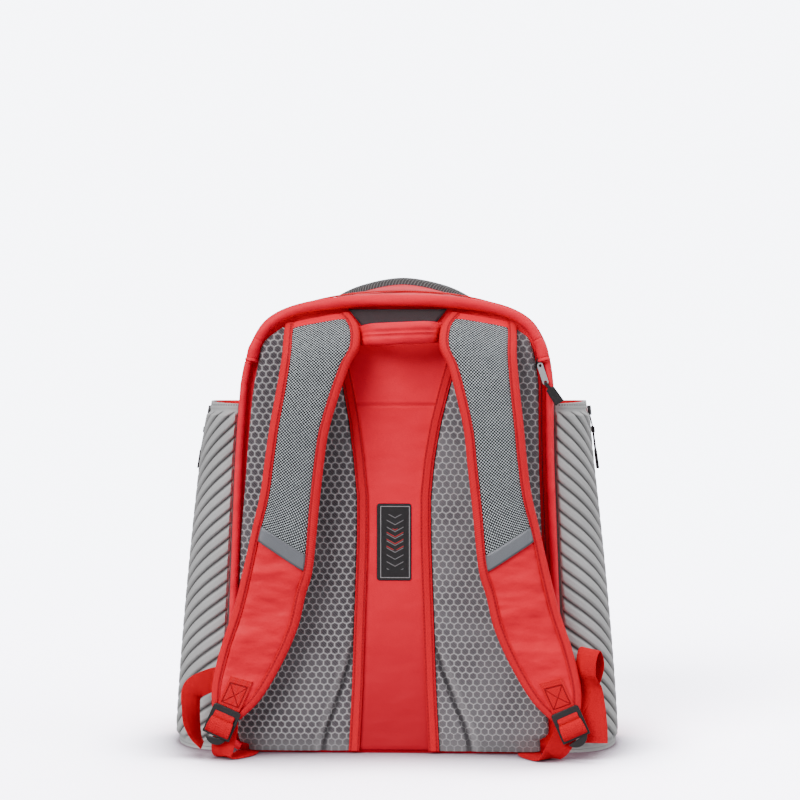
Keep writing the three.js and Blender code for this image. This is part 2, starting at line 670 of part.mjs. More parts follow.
function buckleGeometry() {
  const half = buckleWidth / 2;
  const outline = new THREE.Shape();
  outline.moveTo(-half, -buckleLength / 2);
  outline.lineTo(half, -buckleLength / 2);
  outline.lineTo(half, buckleLength / 2 - 2);
  outline.lineTo(half - 2, buckleLength / 2);
  outline.lineTo(2 - half, buckleLength / 2);
  outline.lineTo(-half, buckleLength / 2 - 2);
  outline.closePath();
  for (const level of [1, -1]) {
    const middle = level * (slotHeight + buckleBar) * 0.5;
    const hole = new THREE.Path();
    hole.moveTo(buckleBar - half, middle - slotHeight / 2);
    hole.lineTo(buckleBar - half, middle + slotHeight / 2);
    hole.lineTo(half - buckleBar, middle + slotHeight / 2);
    hole.lineTo(half - buckleBar, middle - slotHeight / 2);
    hole.closePath();
    outline.holes.push(hole);
  }
  const frame = new THREE.ExtrudeGeometry(outline, { depth: buckleThickness, bevelEnabled: false });
  const lipShape = new THREE.Shape();
  lipShape.moveTo(-half * 0.8, 1);
  lipShape.absarc(0, half * 0.8 - buckleLip, half * 0.8, Math.PI * 1.18, Math.PI * 1.82);
  lipShape.lineTo(half * 0.8, 1);
  lipShape.closePath();
  const lip = new THREE.ExtrudeGeometry(lipShape, {
    depth: buckleThickness * 0.6, bevelEnabled: false, curveSegments: 8 });
  lip.translate(0, -buckleLength / 2, buckleThickness * 0.3);
  return fromManifold(toManifold(frame).add(toManifold(lip)));
}

// Webbing routes. out counts from the buckle towards the viewer as a share of the stand-off, away counts
// sideways from the strap's end as a share of the base half width, up is a share of the body's height.
const adjustRows = {
  left: [
    { away: 0.0, out: 0.735, up: 0.066, tilt: 22, plan: 0 },
    { away: 0.006, out: 0.735, up: 0.05, tilt: 18, plan: 0 },
    { away: 0.015, out: 0.725, up: 0.034, tilt: 12, plan: -2 },
    { away: 0.02, out: 0.71, up: 0.018, tilt: 6, plan: -14 },
    { away: 0.012, out: 0.68, up: 0.006, tilt: 2, plan: -28 },
    { away: -0.02, out: 0.6, up: 0.0036, tilt: 0, plan: -40 },
    { away: -0.06, out: 0.46, up: 0.0036, tilt: 0, plan: -38 },
    { away: -0.09, out: 0.3, up: 0.0036, tilt: 0, plan: -20 },
    { away: -0.1, out: 0.15, up: 0.0036, tilt: 0, plan: -4 },
    { away: -0.1, out: 0.02, up: 0.0036, tilt: 0, plan: 0 },
  ],
  right: [
    { away: 0.0, out: 0.735, up: 0.066, tilt: 22, plan: 0 },
    { away: -0.015, out: 0.735, up: 0.05, tilt: 18, plan: 0 },
    { away: -0.04, out: 0.725, up: 0.034, tilt: 12, plan: -2 },
    { away: -0.075, out: 0.71, up: 0.018, tilt: 6, plan: -14 },
    { away: -0.11, out: 0.67, up: 0.006, tilt: 2, plan: -28 },
    { away: -0.145, out: 0.57, up: 0.0036, tilt: 0, plan: -38 },
    { away: -0.175, out: 0.42, up: 0.0036, tilt: 0, plan: -34 },
    { away: -0.198, out: 0.28, up: 0.0036, tilt: 0, plan: -18 },
    { away: -0.205, out: 0.15, up: 0.0036, tilt: 0, plan: -4 },
    { away: -0.205, out: 0.02, up: 0.0036, tilt: 0, plan: 0 },
  ],
};
const tailRows = {
  left: [
    { away: 0.0, out: 0.715, up: 0.056, tilt: 18, plan: 0 },
    { away: 0.0, out: 0.66, up: 0.08, tilt: 18, plan: 0 },
    { away: 0.0, out: 0.55, up: 0.11, tilt: 12, plan: 0 },
    { away: 0.0, out: 0.48, up: 0.138, tilt: 4, plan: 0 },
    { away: 0.006, out: 0.465, up: 0.162, tilt: 8, plan: 0 },
    { away: 0.018, out: 0.42, up: 0.172, tilt: 30, plan: 0 },
    { away: 0.034, out: 0.375, up: 0.168, tilt: 52, plan: 0 },
    { away: 0.08, out: 0.37, up: 0.165, tilt: 60, plan: 0 },
    { away: 0.14, out: 0.39, up: 0.157, tilt: 62, plan: 0 },
    { away: 0.195, out: 0.43, up: 0.146, tilt: 60, plan: 0 },
    { away: 0.215, out: 0.5, up: 0.132, tilt: 50, plan: 20 },
    { away: 0.214, out: 0.56, up: 0.105, tilt: 30, plan: 42 },
    { away: 0.208, out: 0.57, up: 0.075, tilt: 14, plan: 50 },
    { away: 0.18, out: 0.56, up: 0.042, tilt: 10, plan: 70 },
    { away: 0.15, out: 0.54, up: 0.024, tilt: 8, plan: 84 },
  ],
  right: [
    { away: 0.0, out: 0.715, up: 0.056, tilt: 18, plan: 0 },
    { away: 0.01, out: 0.66, up: 0.08, tilt: 16, plan: 0 },
    { away: 0.04, out: 0.53, up: 0.11, tilt: 10, plan: 0 },
    { away: 0.09, out: 0.43, up: 0.14, tilt: 4, plan: 10 },
    { away: 0.14, out: 0.38, up: 0.17, tilt: 0, plan: 26 },
    { away: 0.165, out: 0.37, up: 0.2, tilt: -4, plan: 36 },
    { away: 0.16, out: 0.4, up: 0.222, tilt: -6, plan: 40 },
    { away: 0.143, out: 0.49, up: 0.234, tilt: -8, plan: 40 },
    { away: 0.126, out: 0.58, up: 0.226, tilt: -8, plan: 40 },
    { away: 0.116, out: 0.63, up: 0.205, tilt: -8, plan: 38 },
    { away: 0.118, out: 0.62, up: 0.184, tilt: -8, plan: 38 },
    { away: 0.134, out: 0.55, up: 0.17, tilt: -6, plan: 36 },
    { away: 0.148, out: 0.5, up: 0.155, tilt: -2, plan: 30 },
    { away: 0.158, out: 0.52, up: 0.125, tilt: 2, plan: 20 },
    { away: 0.166, out: 0.58, up: 0.09, tilt: 6, plan: 8 },
    { away: 0.17, out: 0.62, up: 0.06, tilt: 10, plan: 0 },
    { away: 0.17, out: 0.63, up: 0.038, tilt: 12, plan: 0 },
  ],
};

// A strip of webbing that follows a table of route rows from the end of a strap.
const stepsPerRow = 2;
function webbingStrip(table, side, origin) {
  const webbingSteps = (table.length - 1) * stepsPerRow;
  const points = new THREE.CatmullRomCurve3(table.map((row) => V(
    origin.x + side * row.away * backBaseHalf,
    panelFace - row.out * strapStandOff,
    row.up * bodyHeight))).getPoints(webbingSteps);
  points.forEach((p) => { p.z = Math.max(p.z, webbingThickness + seamGap); });
  const across = points.map((p, i) => {
    const at = (i / webbingSteps) * (table.length - 1);
    const low = table[Math.floor(at)];
    const high = table[Math.min(Math.floor(at) + 1, table.length - 1)];
    const tilt = THREE.MathUtils.degToRad(mix(low.tilt, high.tilt, at % 1));
    const plan = THREE.MathUtils.degToRad(mix(low.plan, high.plan, at % 1));
    return V(side * Math.cos(tilt) * Math.cos(plan), -Math.sin(plan), Math.sin(tilt));
  });
  return ribbon(stripRows(points, across, side), webbingWidth, webbingThickness);
}

for (const [side, name] of [[-1, 'left'], [1, 'right']]) {
  const rows = strapFrames(side);
  const upper = rows.slice(0, jointRow + 1);
  const lower = [lowered(rows[jointRow], seamGap), ...rows.slice(jointRow + 1)];
  addPiece(`strap_upper_${name}`, loft(upper.map(padLoop)), strapMesh);
  addPiece(`strap_lower_${name}`, loft(lower.map(padLoop)), red);
  const innerTape = rows.map((row) => tapeLoop(row, edgeTape, -1));
  const outerTape = rows.map((row) => tapeLoop(row, row.width - edgeTape, 1));
  addPiece(`strap_binding_inner_${name}`, loft(innerTape), redTape);
  addPiece(`strap_binding_outer_${name}`, loft(outerTape), redTape);

  const reflector = (lift) => rows.slice(jointRow - 1, jointRow + 2).map((row) => {
    const [near, far] = [edgeTape + seamGap, row.width - edgeTape - seamGap];
    return [
      strapPoint(row, near, lift - row.thick * 0.16), strapPoint(row, mix(near, far, 0.22), lift),
      strapPoint(row, mix(near, far, 0.78), lift), strapPoint(row, far, lift - row.thick * 0.16),
    ];
  });
  addPiece(`reflective_strip_${name}`, wall(
    reflector(seamGap + reflectorThickness), reflector(seamGap)), reflective);

  const frame = endFrame(rows);
  const tabRow = (row, upShare) => ({
    at: rows[13].middle.clone().lerp(row.middle, upShare).addScaledVector(row.normal, seamGap),
    across: row.across,
    normal: row.normal,
  });
  const tabRoute = [tabRow(rows[14], 0.62), tabRow(rows[14], 1), tabRow(rows[15], 1)];
  addPiece(`webbing_tab_${name}`, ribbon(tabRoute, webbingWidth, webbingThickness), redWeb);

  const seat = new THREE.Group();
  seat.position.copy(inFrame(frame, 0, -buckleLength * 0.28, seamGap * 2 + webbingThickness));
  seat.quaternion.setFromRotationMatrix(new THREE.Matrix4().makeBasis(
    frame.up.clone().cross(frame.normal), frame.up, frame.normal));
  object.add(seat);
  addPiece(`ladder_buckle_${name}`, buckleGeometry(), blackPlastic, seat);

  addPiece(`adjust_webbing_${name}`, webbingStrip(adjustRows[name], side, frame.origin), redWeb);
  addPiece(`webbing_tail_${name}`, webbingStrip(tailRows[name], side, frame.origin), redWeb);
}

// A zip pull: a thin link, a knot and a moulded tab. down counts in tab lengths, wide and thick are shares
// of the tab's width and thickness, off of the slider's thickness.
const pullRows = [
  { down: 0.0, wide: 0.21, thick: 0.5, off: 0.3 },
  { down: 0.55, wide: 0.21, thick: 0.5, off: 0.7 },
  { down: 0.6, wide: 0.53, thick: 1.25, off: 0.5 },
  { down: 0.85, wide: 0.53, thick: 1.25, off: 0.5 },
  { down: 0.92, wide: 0.3, thick: 0.7, off: 0.7 },
  { down: 1.75, wide: 0.37, thick: 0.75, off: 0.8 },
  { down: 1.85, wide: 0.87, thick: 1.0, off: 0.7 },
  { down: 2.75, wide: 1.0, thick: 1.0, off: 0.8 },
];

// Bat sleeves. turn runs from 0 at the back seam through 1 at the zip line to 2 at the front seam.
const wallFoot = footThickness + seamGap;
function sleeveTip(z) {
  const fall = clamp(z / mouthHeight, 0, 1) ** 1.6;
  return sideX(z, sleeveBackSeam) + mix(baseReach, mouthReach, fall);
}

function sleeveBase(turn, z) {
  const front = turn > 1;
  const share = (front ? 2 - turn : turn) * Math.PI * 0.5;
  const power = 2 / sleeveRoundness;
  const seam = front ? sleeveFrontSeam : sleeveBackSeam;
  const root = sideX(z, front ? seam - clothWall : seam) + seamGap;
  const zip = sleeveZipLine + (front ? seamGap * 0.5 : -seamGap * 0.5);
  return {
    x: mix(root, sleeveTip(z), Math.sin(share) ** power),
    y: mix(seam, zip, 1 - Math.max(0, Math.cos(share)) ** power),
  };
}

function sleeveSpot(side, turn, z, lift) {
  const step = 0.012;
  const at = sleeveBase(turn, z);
  const range = turn > 1 ? [1.0001, 2] : [0, 1];
  const before = sleeveBase(clamp(turn - step, ...range), z);
  const after = sleeveBase(clamp(turn + step, ...range), z);
  const length = Math.hypot(after.x - before.x, after.y - before.y);
  const out = { x: (after.y - before.y) / length, y: (before.x - after.x) / length };
  return V(side * (at.x + out.x * lift), at.y + out.y * lift, z);
}

const ribColumns = [
  { turn: 0, rib: 0 }, { turn: 0.06, rib: 0 }, { turn: 0.13, rib: 1 }, { turn: 0.3, rib: 1 },
  { turn: 0.48, rib: 1 }, { turn: 0.67, rib: 1 }, { turn: 0.84, rib: 1 }, { turn: 0.92, rib: 0 },
  { turn: 1, rib: 0 },
];
const ribArcs = [0];
ribColumns.slice(1).forEach((column, i) => {
  const a = sleeveBase(ribColumns[i].turn, mouthHeight * 0.4);
  const b = sleeveBase(column.turn, mouthHeight * 0.4);
  ribArcs.push(ribArcs[i] + Math.hypot(a.x - b.x, a.y - b.y));
});

// Each rib has a groove and a flat crest, and slopes up towards the body.
const ribLines = [{ share: 0, lift: 0 }, { share: 0.22, lift: 1 }, { share: 0.8, lift: 1 }];
function ribbedGrid(side) {
  const [low, high] = [wallFoot + hemWidth * 0.5, mouthHeight - hemWidth];
  const rise = ribSlope * ribArcs.at(-1);
  const count = Math.ceil((mouthHeight + rise) / ribPitch);
  const grid = [ribColumns.map((column) => sleeveSpot(side, column.turn, wallFoot, 0))];
  for (let rib = 0; rib < count; rib += 1) {
    for (const { share, lift } of ribLines) {
      grid.push(ribColumns.map((column, i) => {
        const z = (rib + share) * ribPitch - ribSlope * ribArcs[i];
        const raised = (z > low && z < high ? lift : 0.5) * column.rib * ribHeight;
        return sleeveSpot(side, column.turn, clamp(z, low, high), raised);
      }));
    }
  }
  grid.push(ribColumns.map((column) => sleeveSpot(side, column.turn, high, 0.5 * column.rib * ribHeight)));
  grid.push(ribColumns.map((column) => sleeveSpot(side, column.turn, mouthHeight, 0)));
  return grid;
}

const wallLevels = [
  wallFoot, ...[0, 0.2, 0.42, 0.62, 0.82, 1].map((share) => mix(cornerRadius, mouthHeight, share))];
const frontTurns = [1.0001, 1.12, 1.35, 1.6, 1.82, 2];
const zipTurns = [0.975, 1, 1.025];
for (const [side, name] of [[-1, 'left'], [1, 'right']]) {
  const inner = wallLevels.map((z) => ribColumns.map(
    (column) => sleeveSpot(side, column.turn, z, -sleeveWall)));
  addPiece(`bat_sleeve_${name}`, wall(ribbedGrid(side), inner), grey);

  const cloth = (lift) => wallLevels.map((z) => frontTurns.map((turn) => sleeveSpot(side, turn, z, lift)));
  addPiece(`sleeve_front_${name}`, wall(cloth(0), cloth(-clothWall)), red);

  const footLine = [...ribColumns.map((column) => column.turn), ...frontTurns.slice(1)];
  const foot = new THREE.Shape(footLine.map((turn) => {
    const spot = sleeveSpot(side, turn, wallFoot, 0);
    return new THREE.Vector2(spot.x, spot.y);
  }));
  const footGeometry = new THREE.ExtrudeGeometry(foot, { depth: footThickness, bevelEnabled: false });
  footGeometry.deleteAttribute('normal');
  footGeometry.deleteAttribute('uv');
  addPiece(`sleeve_foot_${name}`, mergeVertices(footGeometry, 1e-4), grey);

  const zipLevels = wallLevels.map((z) => clamp(z, hemWidth * 2, mouthHeight - 6));
  const tape = (lift) => zipLevels.map((z) => zipTurns.map((turn) => sleeveSpot(side, turn, z, lift)));
  addPiece(`sleeve_zip_tape_${name}`, wall(tape(seamGap * 2 + zipTapeThickness), tape(seamGap * 2)), redTape);

  const sliderFoot = mouthHeight - 6 - sliderLength;
  const sliderLift = seamGap * 3 + zipTapeThickness;
  const slider = [0, 0.25, 0.75, 1].map((share) => {
    const z = sliderFoot + share * sliderLength;
    const half = sliderThickness * (share === 0 || share === 1 ? 0.6 : 1);
    const spot = (turn, lift) => sleeveSpot(side, 1, z, lift).add(V(0, turn * half, 0));
    return [
      spot(-1, sliderLift), spot(1, sliderLift),
      spot(0.6, sliderLift + sliderThickness), spot(-0.6, sliderLift + sliderThickness),
    ];
  });
  addPiece(`sleeve_zip_slider_${name}`, loft(slider), blackPlastic);

  addPiece(`sleeve_zip_pull_${name}`, loft(pullRows.map((row) => {
    const z = sliderFoot - seamGap - row.down * pullLength;
    const lift = sliderLift + row.off * sliderThickness;
    const spot = (wide, out) => sleeveSpot(side, 1, z, lift + out * row.thick * pullThickness)
      .add(V(0, wide * row.wide * pullWidth * 0.5, 0));
    return [spot(-1, 0), spot(1, 0), spot(1, 1), spot(-1, 1)];
  })), blackCloth);
}

// Laptop pocket zip, on the face of the back beside the right-hand pad.
const laptopY = panelFace - seamGap;
const laptopX = (z) => backRoom(z, pipingRadius * 2 + seamGap * 2 + zipTapeWidth * 0.5);
const laptopLevels = [
  laptopZipBottom,
  ...padRows.map((row) => row.up * bodyHeight).filter((z) => z > laptopZipBottom + 5 && z < laptopZipTop - 5),
  laptopZipTop];
addPiece('laptop_zip_tape', loft(laptopLevels.map((z) => {
  const [x, half] = [laptopX(z), zipTapeWidth * 0.5];
  const y = laptopY - zipTapeThickness;
  return [V(x - half, laptopY, z), V(x + half, laptopY, z), V(x + half, y, z), V(x - half, y, z)];
})), redTape);

const sliderBack = laptopY - zipTapeThickness - seamGap;
const sliderFront = pipingY - pipingRadius - seamGap;
const laptopSpot = laptopX(laptopSliderHeight);
addPiece('laptop_zip_slider', loft([0, 0.25, 0.75, 1].map((share) => {
  const z = laptopSliderHeight + (share - 0.5) * sliderLength;
  const half = zipTapeWidth * (share === 0 || share === 1 ? 0.3 : 0.46);
  return [
    V(laptopSpot - half, sliderBack, z), V(laptopSpot + half, sliderBack, z),
    V(laptopSpot + half * 0.6, sliderFront, z), V(laptopSpot - half * 0.6, sliderFront, z),
  ];
})), blackPlastic);

const pullerShape = roundedRect(pullerWidth / 2, pullerLength / 2, pullerWidth / 2 - 0.01);
for (const level of [1, -1]) {
  const hole = new THREE.Path();
  hole.absarc(0, level * (pullerLength / 2 - pullerWidth / 2), pullerWidth * 0.28, 0, Math.PI * 2, true);
  pullerShape.holes.push(hole);
}
const pullerThickness = 1.2;
const pullerGeometry = new THREE.ExtrudeGeometry(pullerShape, {
  depth: pullerThickness, bevelEnabled: false, curveSegments: 3 });
pullerGeometry.deleteAttribute('normal');
pullerGeometry.deleteAttribute('uv');
const pullerHang = new THREE.Group();
const pullerLean = THREE.MathUtils.degToRad(18);
pullerHang.position.set(
  laptopSpot + sway(laptopSliderHeight) + Math.sin(pullerLean) * pullerLength * 0.5,
  sliderFront - seamGap,
  laptopSliderHeight - Math.cos(pullerLean) * pullerLength * 0.5);
pullerHang.rotation.set(Math.PI / 2, 0, 0);
object.add(pullerHang);
const puller = addPiece('laptop_zip_puller', mergeVertices(pullerGeometry, 1e-4), steel, pullerHang);
puller.rotation.z = pullerLean;

const cordTop = V(
  laptopSpot + Math.sin(pullerLean) * pullerLength * 0.9, sliderFront - seamGap * 2 - pullerThickness,
  laptopSliderHeight - Math.cos(pullerLean) * pullerLength * 0.9);
const cordRows = [
  { down: 0.0, side: 0.0, wide: 0.35 },
  { down: 0.25, side: 0.2, wide: 0.35 },
  { down: 0.3, side: 0.25, wide: 0.93 },
  { down: 1.0, side: 0.75, wide: 1.05 },
];
const cordSlope = 0.6;
addPiece('laptop_pull_cord', loft(cordRows.map((row) => {
  const at = cordTop.clone().add(V(row.side * pullLength, 0, -row.down * pullLength));
  const half = row.wide * pullWidth * 0.5;
  const corner = (way, out) => at.clone()
    .add(V(way * half, -out * pullThickness * 0.8, way * half * cordSlope));
  return [corner(-1, 0), corner(1, 0), corner(1, 1), corner(-1, 1)];
})), blackCloth);

// The origin goes to the middle of the bag's footprint box, on the floor.
const extent = new THREE.Box3().setFromObject(object);
object.position.set(-(extent.min.x + extent.max.x) / 2, -(extent.min.y + extent.max.y) / 2, 0);

export default object;
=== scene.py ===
import math

import bmesh
import bpy
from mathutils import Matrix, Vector, noise


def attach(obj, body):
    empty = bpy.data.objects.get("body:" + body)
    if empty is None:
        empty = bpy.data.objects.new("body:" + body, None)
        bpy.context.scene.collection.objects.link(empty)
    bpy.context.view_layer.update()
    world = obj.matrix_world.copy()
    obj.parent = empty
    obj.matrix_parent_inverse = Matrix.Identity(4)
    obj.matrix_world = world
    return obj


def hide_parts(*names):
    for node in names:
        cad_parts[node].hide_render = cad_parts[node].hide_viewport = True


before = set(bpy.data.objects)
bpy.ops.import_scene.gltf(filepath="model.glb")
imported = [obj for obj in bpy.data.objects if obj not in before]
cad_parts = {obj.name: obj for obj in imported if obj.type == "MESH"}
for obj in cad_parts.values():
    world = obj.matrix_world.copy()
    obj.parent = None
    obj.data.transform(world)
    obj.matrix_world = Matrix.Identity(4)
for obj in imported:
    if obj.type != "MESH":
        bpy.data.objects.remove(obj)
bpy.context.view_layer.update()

# The view: level with the upper half of the bag, a little to the right of the middle of its harness side,
# through a long lens. depth_shift is how far in millimetres the bag stands behind the places given below.
depth_shift = 20.2
view_turn = math.radians(2)
view_distance = 1.905
view_height = 0.383
view_aside = 0.003
lens = bpy.data.cameras.new("View")
lens.lens = 75.0
lens.sensor_width = 36.0
view = bpy.data.objects.new("View", lens)
view.location = (
    view_distance * math.sin(view_turn) + view_aside * math.cos(view_turn),
    -view_distance * math.cos(view_turn) + view_aside * math.sin(view_turn) + depth_shift / 1000,
    view_height,
)
view.rotation_euler = (math.pi / 2, 0, view_turn)
bpy.context.scene.collection.objects.link(view)
bpy.context.scene.camera = view


# The room: a bright white paper sweep behind and under the bag, and soft studio light from large lamps. The
# strongest lamp stands in front, high on the left, and a weaker one lights the right side.
class Shade:
    """A value that changes over a surface. Sums on it add the material's own maths."""

    def __init__(self, finish, socket):
        self.finish = finish
        self.socket = socket

    def maths(self, operation, *values):
        return self.finish.node("ShaderNodeMath", {"operation": operation}, dict(enumerate(values)))

    def __add__(self, other):
        return self.maths("ADD", self, other)

    def __sub__(self, other):
        return self.maths("SUBTRACT", self, other)

    def __rsub__(self, other):
        return self.maths("SUBTRACT", other, self)

    def __mul__(self, other):
        return self.maths("MULTIPLY", self, other)

    def __mod__(self, other):
        return self.maths("FLOORED_MODULO", self, other)

    def __abs__(self):
        return self.maths("ABSOLUTE", self)

    __radd__ = __add__
    __rmul__ = __mul__

    def least(self, other):
        return self.maths("MINIMUM", self, other)

    def most(self, other):
        return self.maths("MAXIMUM", self, other)

    def wave(self, pitch):
        """A sine over the value, one wave for each pitch."""
        return self.maths("SINE", self * (2 * math.pi / pitch))

    def rise(self, low, high):
        """0 below low, 1 above high, and a smooth step between. With high below low it falls."""
        return self.finish.node("ShaderNodeMapRange", {"interpolation_type": "SMOOTHSTEP"}, {
            "Value": self, "From Min": low, "From Max": high, "To Min": 0.0, "To Max": 1.0})


class Finish:
    """A material. Its nodes are added as its pattern is worked out."""

    def __init__(self, name, **constants):
        self.material = bpy.data.materials.new(name)
        self.material.use_nodes = True
        self.tree = self.material.node_tree
        self.tree.nodes.clear()
        self.surface = self.tree.nodes.new("ShaderNodeBsdfPrincipled")
        self.output = self.tree.nodes.new("ShaderNodeOutputMaterial")
        self.tree.links.new(self.surface.outputs[0], self.output.inputs[0])
        for key, value in constants.items():
            self.surface.inputs[key.replace("_", " ")].default_value = value

    def node(self, kind, settings=None, sockets=None, output=0):
        made = self.tree.nodes.new(kind)
        for key, value in (settings or {}).items():
            setattr(made, key, value)
        for key, value in (sockets or {}).items():
            if isinstance(value, Shade):
                self.tree.links.new(value.socket, made.inputs[key])
            else:
                made.inputs[key].default_value = value
        return Shade(self, made.outputs[output])

    def parts(self, vector):
        split = self.node("ShaderNodeSeparateXYZ", None, {0: vector})
        outputs = split.socket.node.outputs
        return [Shade(self, outputs[i]) for i in range(3)]

    def where(self):
        """The place on the bag in millimetres."""
        place = self.node("ShaderNodeTexCoord", output=3)
        return [value * 1000 for value in self.parts(place)]

    def cloth(self):
        """The place on the cloth itself, across and along, in millimetres."""
        place = self.node("ShaderNodeUVMap", {"uv_map": "cloth"})
        return self.parts(place)[:2]

    def grain(self, size, detail=2.0, stretch=(1, 1, 1)):
        """Noise whose blots are about size millimetres."""
        place = self.node("ShaderNodeTexCoord", output=3)
        laid = self.node("ShaderNodeMapping", None, {"Vector": place, "Scale": stretch})
        return self.node("ShaderNodeTexNoise", None, {"Vector": laid, "Scale": 1000 / size, "Detail": detail})

    def mixed(self, share, first, second):
        return self.node("ShaderNodeMix", {"data_type": "RGBA"}, {0: share, 6: first, 7: second}, output=2)

    def wear(self, colour=None, roughness=None, height=None):
        """Joins the worked-out pattern to the surface. height is in millimetres."""
        if colour is not None:
            self.tree.links.new(colour.socket, self.surface.inputs["Base Color"])
        if roughness is not None:
            self.tree.links.new(roughness.socket, self.surface.inputs["Roughness"])
        if height is not None:
            relief = self.node("ShaderNodeBump", None, {"Height": height, "Distance": 0.001, "Strength": 1.0})
            self.tree.links.new(relief.socket, self.surface.inputs["Normal"])
        return self.material


def tone(red, green, blue):
    """A colour given as it looks on a screen, 0 to 255."""
    def linear(value):
        value /= 255
        return value / 12.92 if value <= 0.04045 else ((value + 0.055) / 1.055) ** 2.4
    return (linear(red), linear(green), linear(blue), 1.0)


room = bmesh.new()
bmesh.ops.create_grid(room, x_segments=1, y_segments=1, size=30)
room_mesh = bpy.data.meshes.new("Floor")
room.to_mesh(room_mesh)
room.free()
floor = bpy.data.objects.new("Floor", room_mesh)
bpy.context.scene.collection.objects.link(floor)
sweep_light = (7.3, 7.5, 8.2, 1)
pale = Finish("Pale_floor")
seen = pale.node("ShaderNodeLightPath")
# Painted contact shadow: the paper's colour is darkened where ambient occlusion finds the bag close by.
nearness = pale.node("ShaderNodeAmbientOcclusion", None, {"Distance": 0.16}, output=1)
paper_with_painted_contact_shadow = pale.mixed((nearness * nearness).rise(0.12, 0.9), (0.22, 0.15, 0.18, 1), (3.9, 3.8, 4.2, 1))
paper = pale.mixed(seen, (0.34, 0.34, 0.35, 1), paper_with_painted_contact_shadow)
lit_paper = pale.node("ShaderNodeBsdfDiffuse", None, {"Color": paper})
far_paper = pale.node("ShaderNodeEmission", None, {"Color": sweep_light, "Strength": seen})
reach = pale.node("ShaderNodeVectorMath", {"operation": "LENGTH"}, {
    0: pale.node("ShaderNodeTexCoord", output=3)}, output=1)
sweep = pale.node("ShaderNodeMixShader", None, {0: reach.rise(0.6, 3.0), 1: lit_paper, 2: far_paper})
pale.tree.links.new(sweep.socket, pale.output.inputs[0])
room_mesh.materials.append(pale.material)
world = bpy.data.worlds.new("Studio")
world.use_nodes = True
sky = world.node_tree
soft_light = sky.nodes["Background"]
soft_light.inputs["Color"].default_value = (0.52, 0.54, 0.58, 1)
bright_wall = sky.nodes.new("ShaderNodeBackground")
bright_wall.inputs["Color"].default_value = sweep_light
seen_wall = sky.nodes.new("ShaderNodeLightPath")
walls = sky.nodes.new("ShaderNodeMixShader")
sky.links.new(seen_wall.outputs[0], walls.inputs[0])
sky.links.new(soft_light.outputs[0], walls.inputs[1])
sky.links.new(bright_wall.outputs[0], walls.inputs[2])
sky.links.new(walls.outputs[0], sky.nodes["World Output"].inputs[0])
bpy.context.scene.world = world
for lamp_name, power, softness, way in (
    ("Key", 3.5, 34, (-0.6, -0.8, 0.62)),
    ("Fill", 2.2, 70, (1.0, -0.22, 0.25)),
    ("Top", 1.1, 60, (0.1, -0.1, 1.0)),
    ("Rear", 1.6, 70, (0.35, 0.85, 0.5)),
):
    lamp = bpy.data.lights.new(lamp_name, "SUN")
    lamp.energy = power
    lamp.angle = math.radians(softness)
    stand = bpy.data.objects.new(lamp_name, lamp)
    stand.location = Vector(way) * 3
    stand.rotation_euler = Vector(way).to_track_quat("Z", "Y").to_euler()
    bpy.context.scene.collection.objects.link(stand)

# The body: one wall of coated red cloth that runs all the way round the bag, bottom and top, between the back
# panel and the moulded front. It is sewn to the edge of the flat back panel.
red_cloth = (234, 2, 42)


def mix(a, b, share):
    return a + (b - a) * share


def clamp(value, low=0.0, high=1.0):
    return min(max(value, low), high)


def step(low, high, value):
    t = clamp((value - low) / (high - low))
    return t * t * (3 - 2 * t)


lean, lean_start, lean_end = 4, 300, 463.1


def spot(x, y, z):
    """A point of the bag, given in millimetres, in the row's frame. The bag's top leans a little to the right."""
    return Vector((x + lean * step(lean_start, lean_end, z), y + depth_shift, z)) / 1000


def between(rows, share):
    """A smooth value between the rows of a table, with share from 0 to 1."""
    place = clamp(share) * (len(rows) - 1)
    i = min(int(place), len(rows) - 2)
    t = place - i
    near = [rows[clamp(k, 0, len(rows) - 1)] for k in (i - 1, i, i + 1, i + 2)]
    return [
        0.5 * (2 * q + (r - p) * t + (2 * p - 5 * q + 4 * r - s) * t * t + (3 * q - p - 3 * r + s) * t ** 3)
        for p, q, r, s in zip(*near)
    ]


back_half, front_half = 184, 168
back_top_half, front_top_half = 170, 142
corner_radius = 26
crown_start = 400
back_crown, front_crown = 98, 119
wall_back, wall_width = -91.7, 150
crown_rows = (
    (1.0, 0.0, 1.0, 0.0),
    (0.975, 0.26, 0.93, 0.24),
    (0.935, 0.49, 0.83, 0.46),
    (0.84, 0.73, 0.7, 0.655),
    (0.66, 0.885, 0.53, 0.815),
    (0.37, 0.975, 0.31, 0.935),
    (0.0, 1.0, 0.0, 1.0),
    (-0.37, 0.975, -0.31, 0.935),
)


def outline(turn, depth=0.0, inset=0.0):
    """x and z on the bag's outline. turn goes once round from the middle of the bottom. depth is from back to
    front."""
    if inset:
        x, z = outline(turn, depth)
        ahead = outline(min(turn + 0.002, 1), depth)
        behind = outline(max(turn - 0.002, 0), depth)
        along = Vector((ahead[0] - behind[0], ahead[1] - behind[1])).normalized()
        return x - along.y * inset, z + along.x * inset
    half = 2 * turn if turn <= 0.5 else 2 - 2 * turn
    side = 1 if turn <= 0.5 else -1
    base = mix(back_half, front_half, depth)
    if half < 0.2:
        x, z = half / 0.2 * (base - corner_radius), 0.0
    elif half < 0.28:
        corner = (half - 0.2) / 0.08 * math.pi / 2
        x = base - corner_radius + corner_radius * math.sin(corner)
        z = corner_radius - corner_radius * math.cos(corner)
    elif half < 0.62:
        rise = (half - 0.28) / 0.34
        x = mix(base, mix(back_top_half, front_top_half, depth), rise)
        z = mix(corner_radius, crown_start, rise)
    else:
        row = between(crown_rows, (half - 0.62) / 0.38 * 6 / 7)
        x = mix(row[0] * back_top_half, row[2] * front_top_half, depth)
        z = crown_start + mix(row[1] * back_crown, row[3] * front_crown, depth)
    return side * x, z


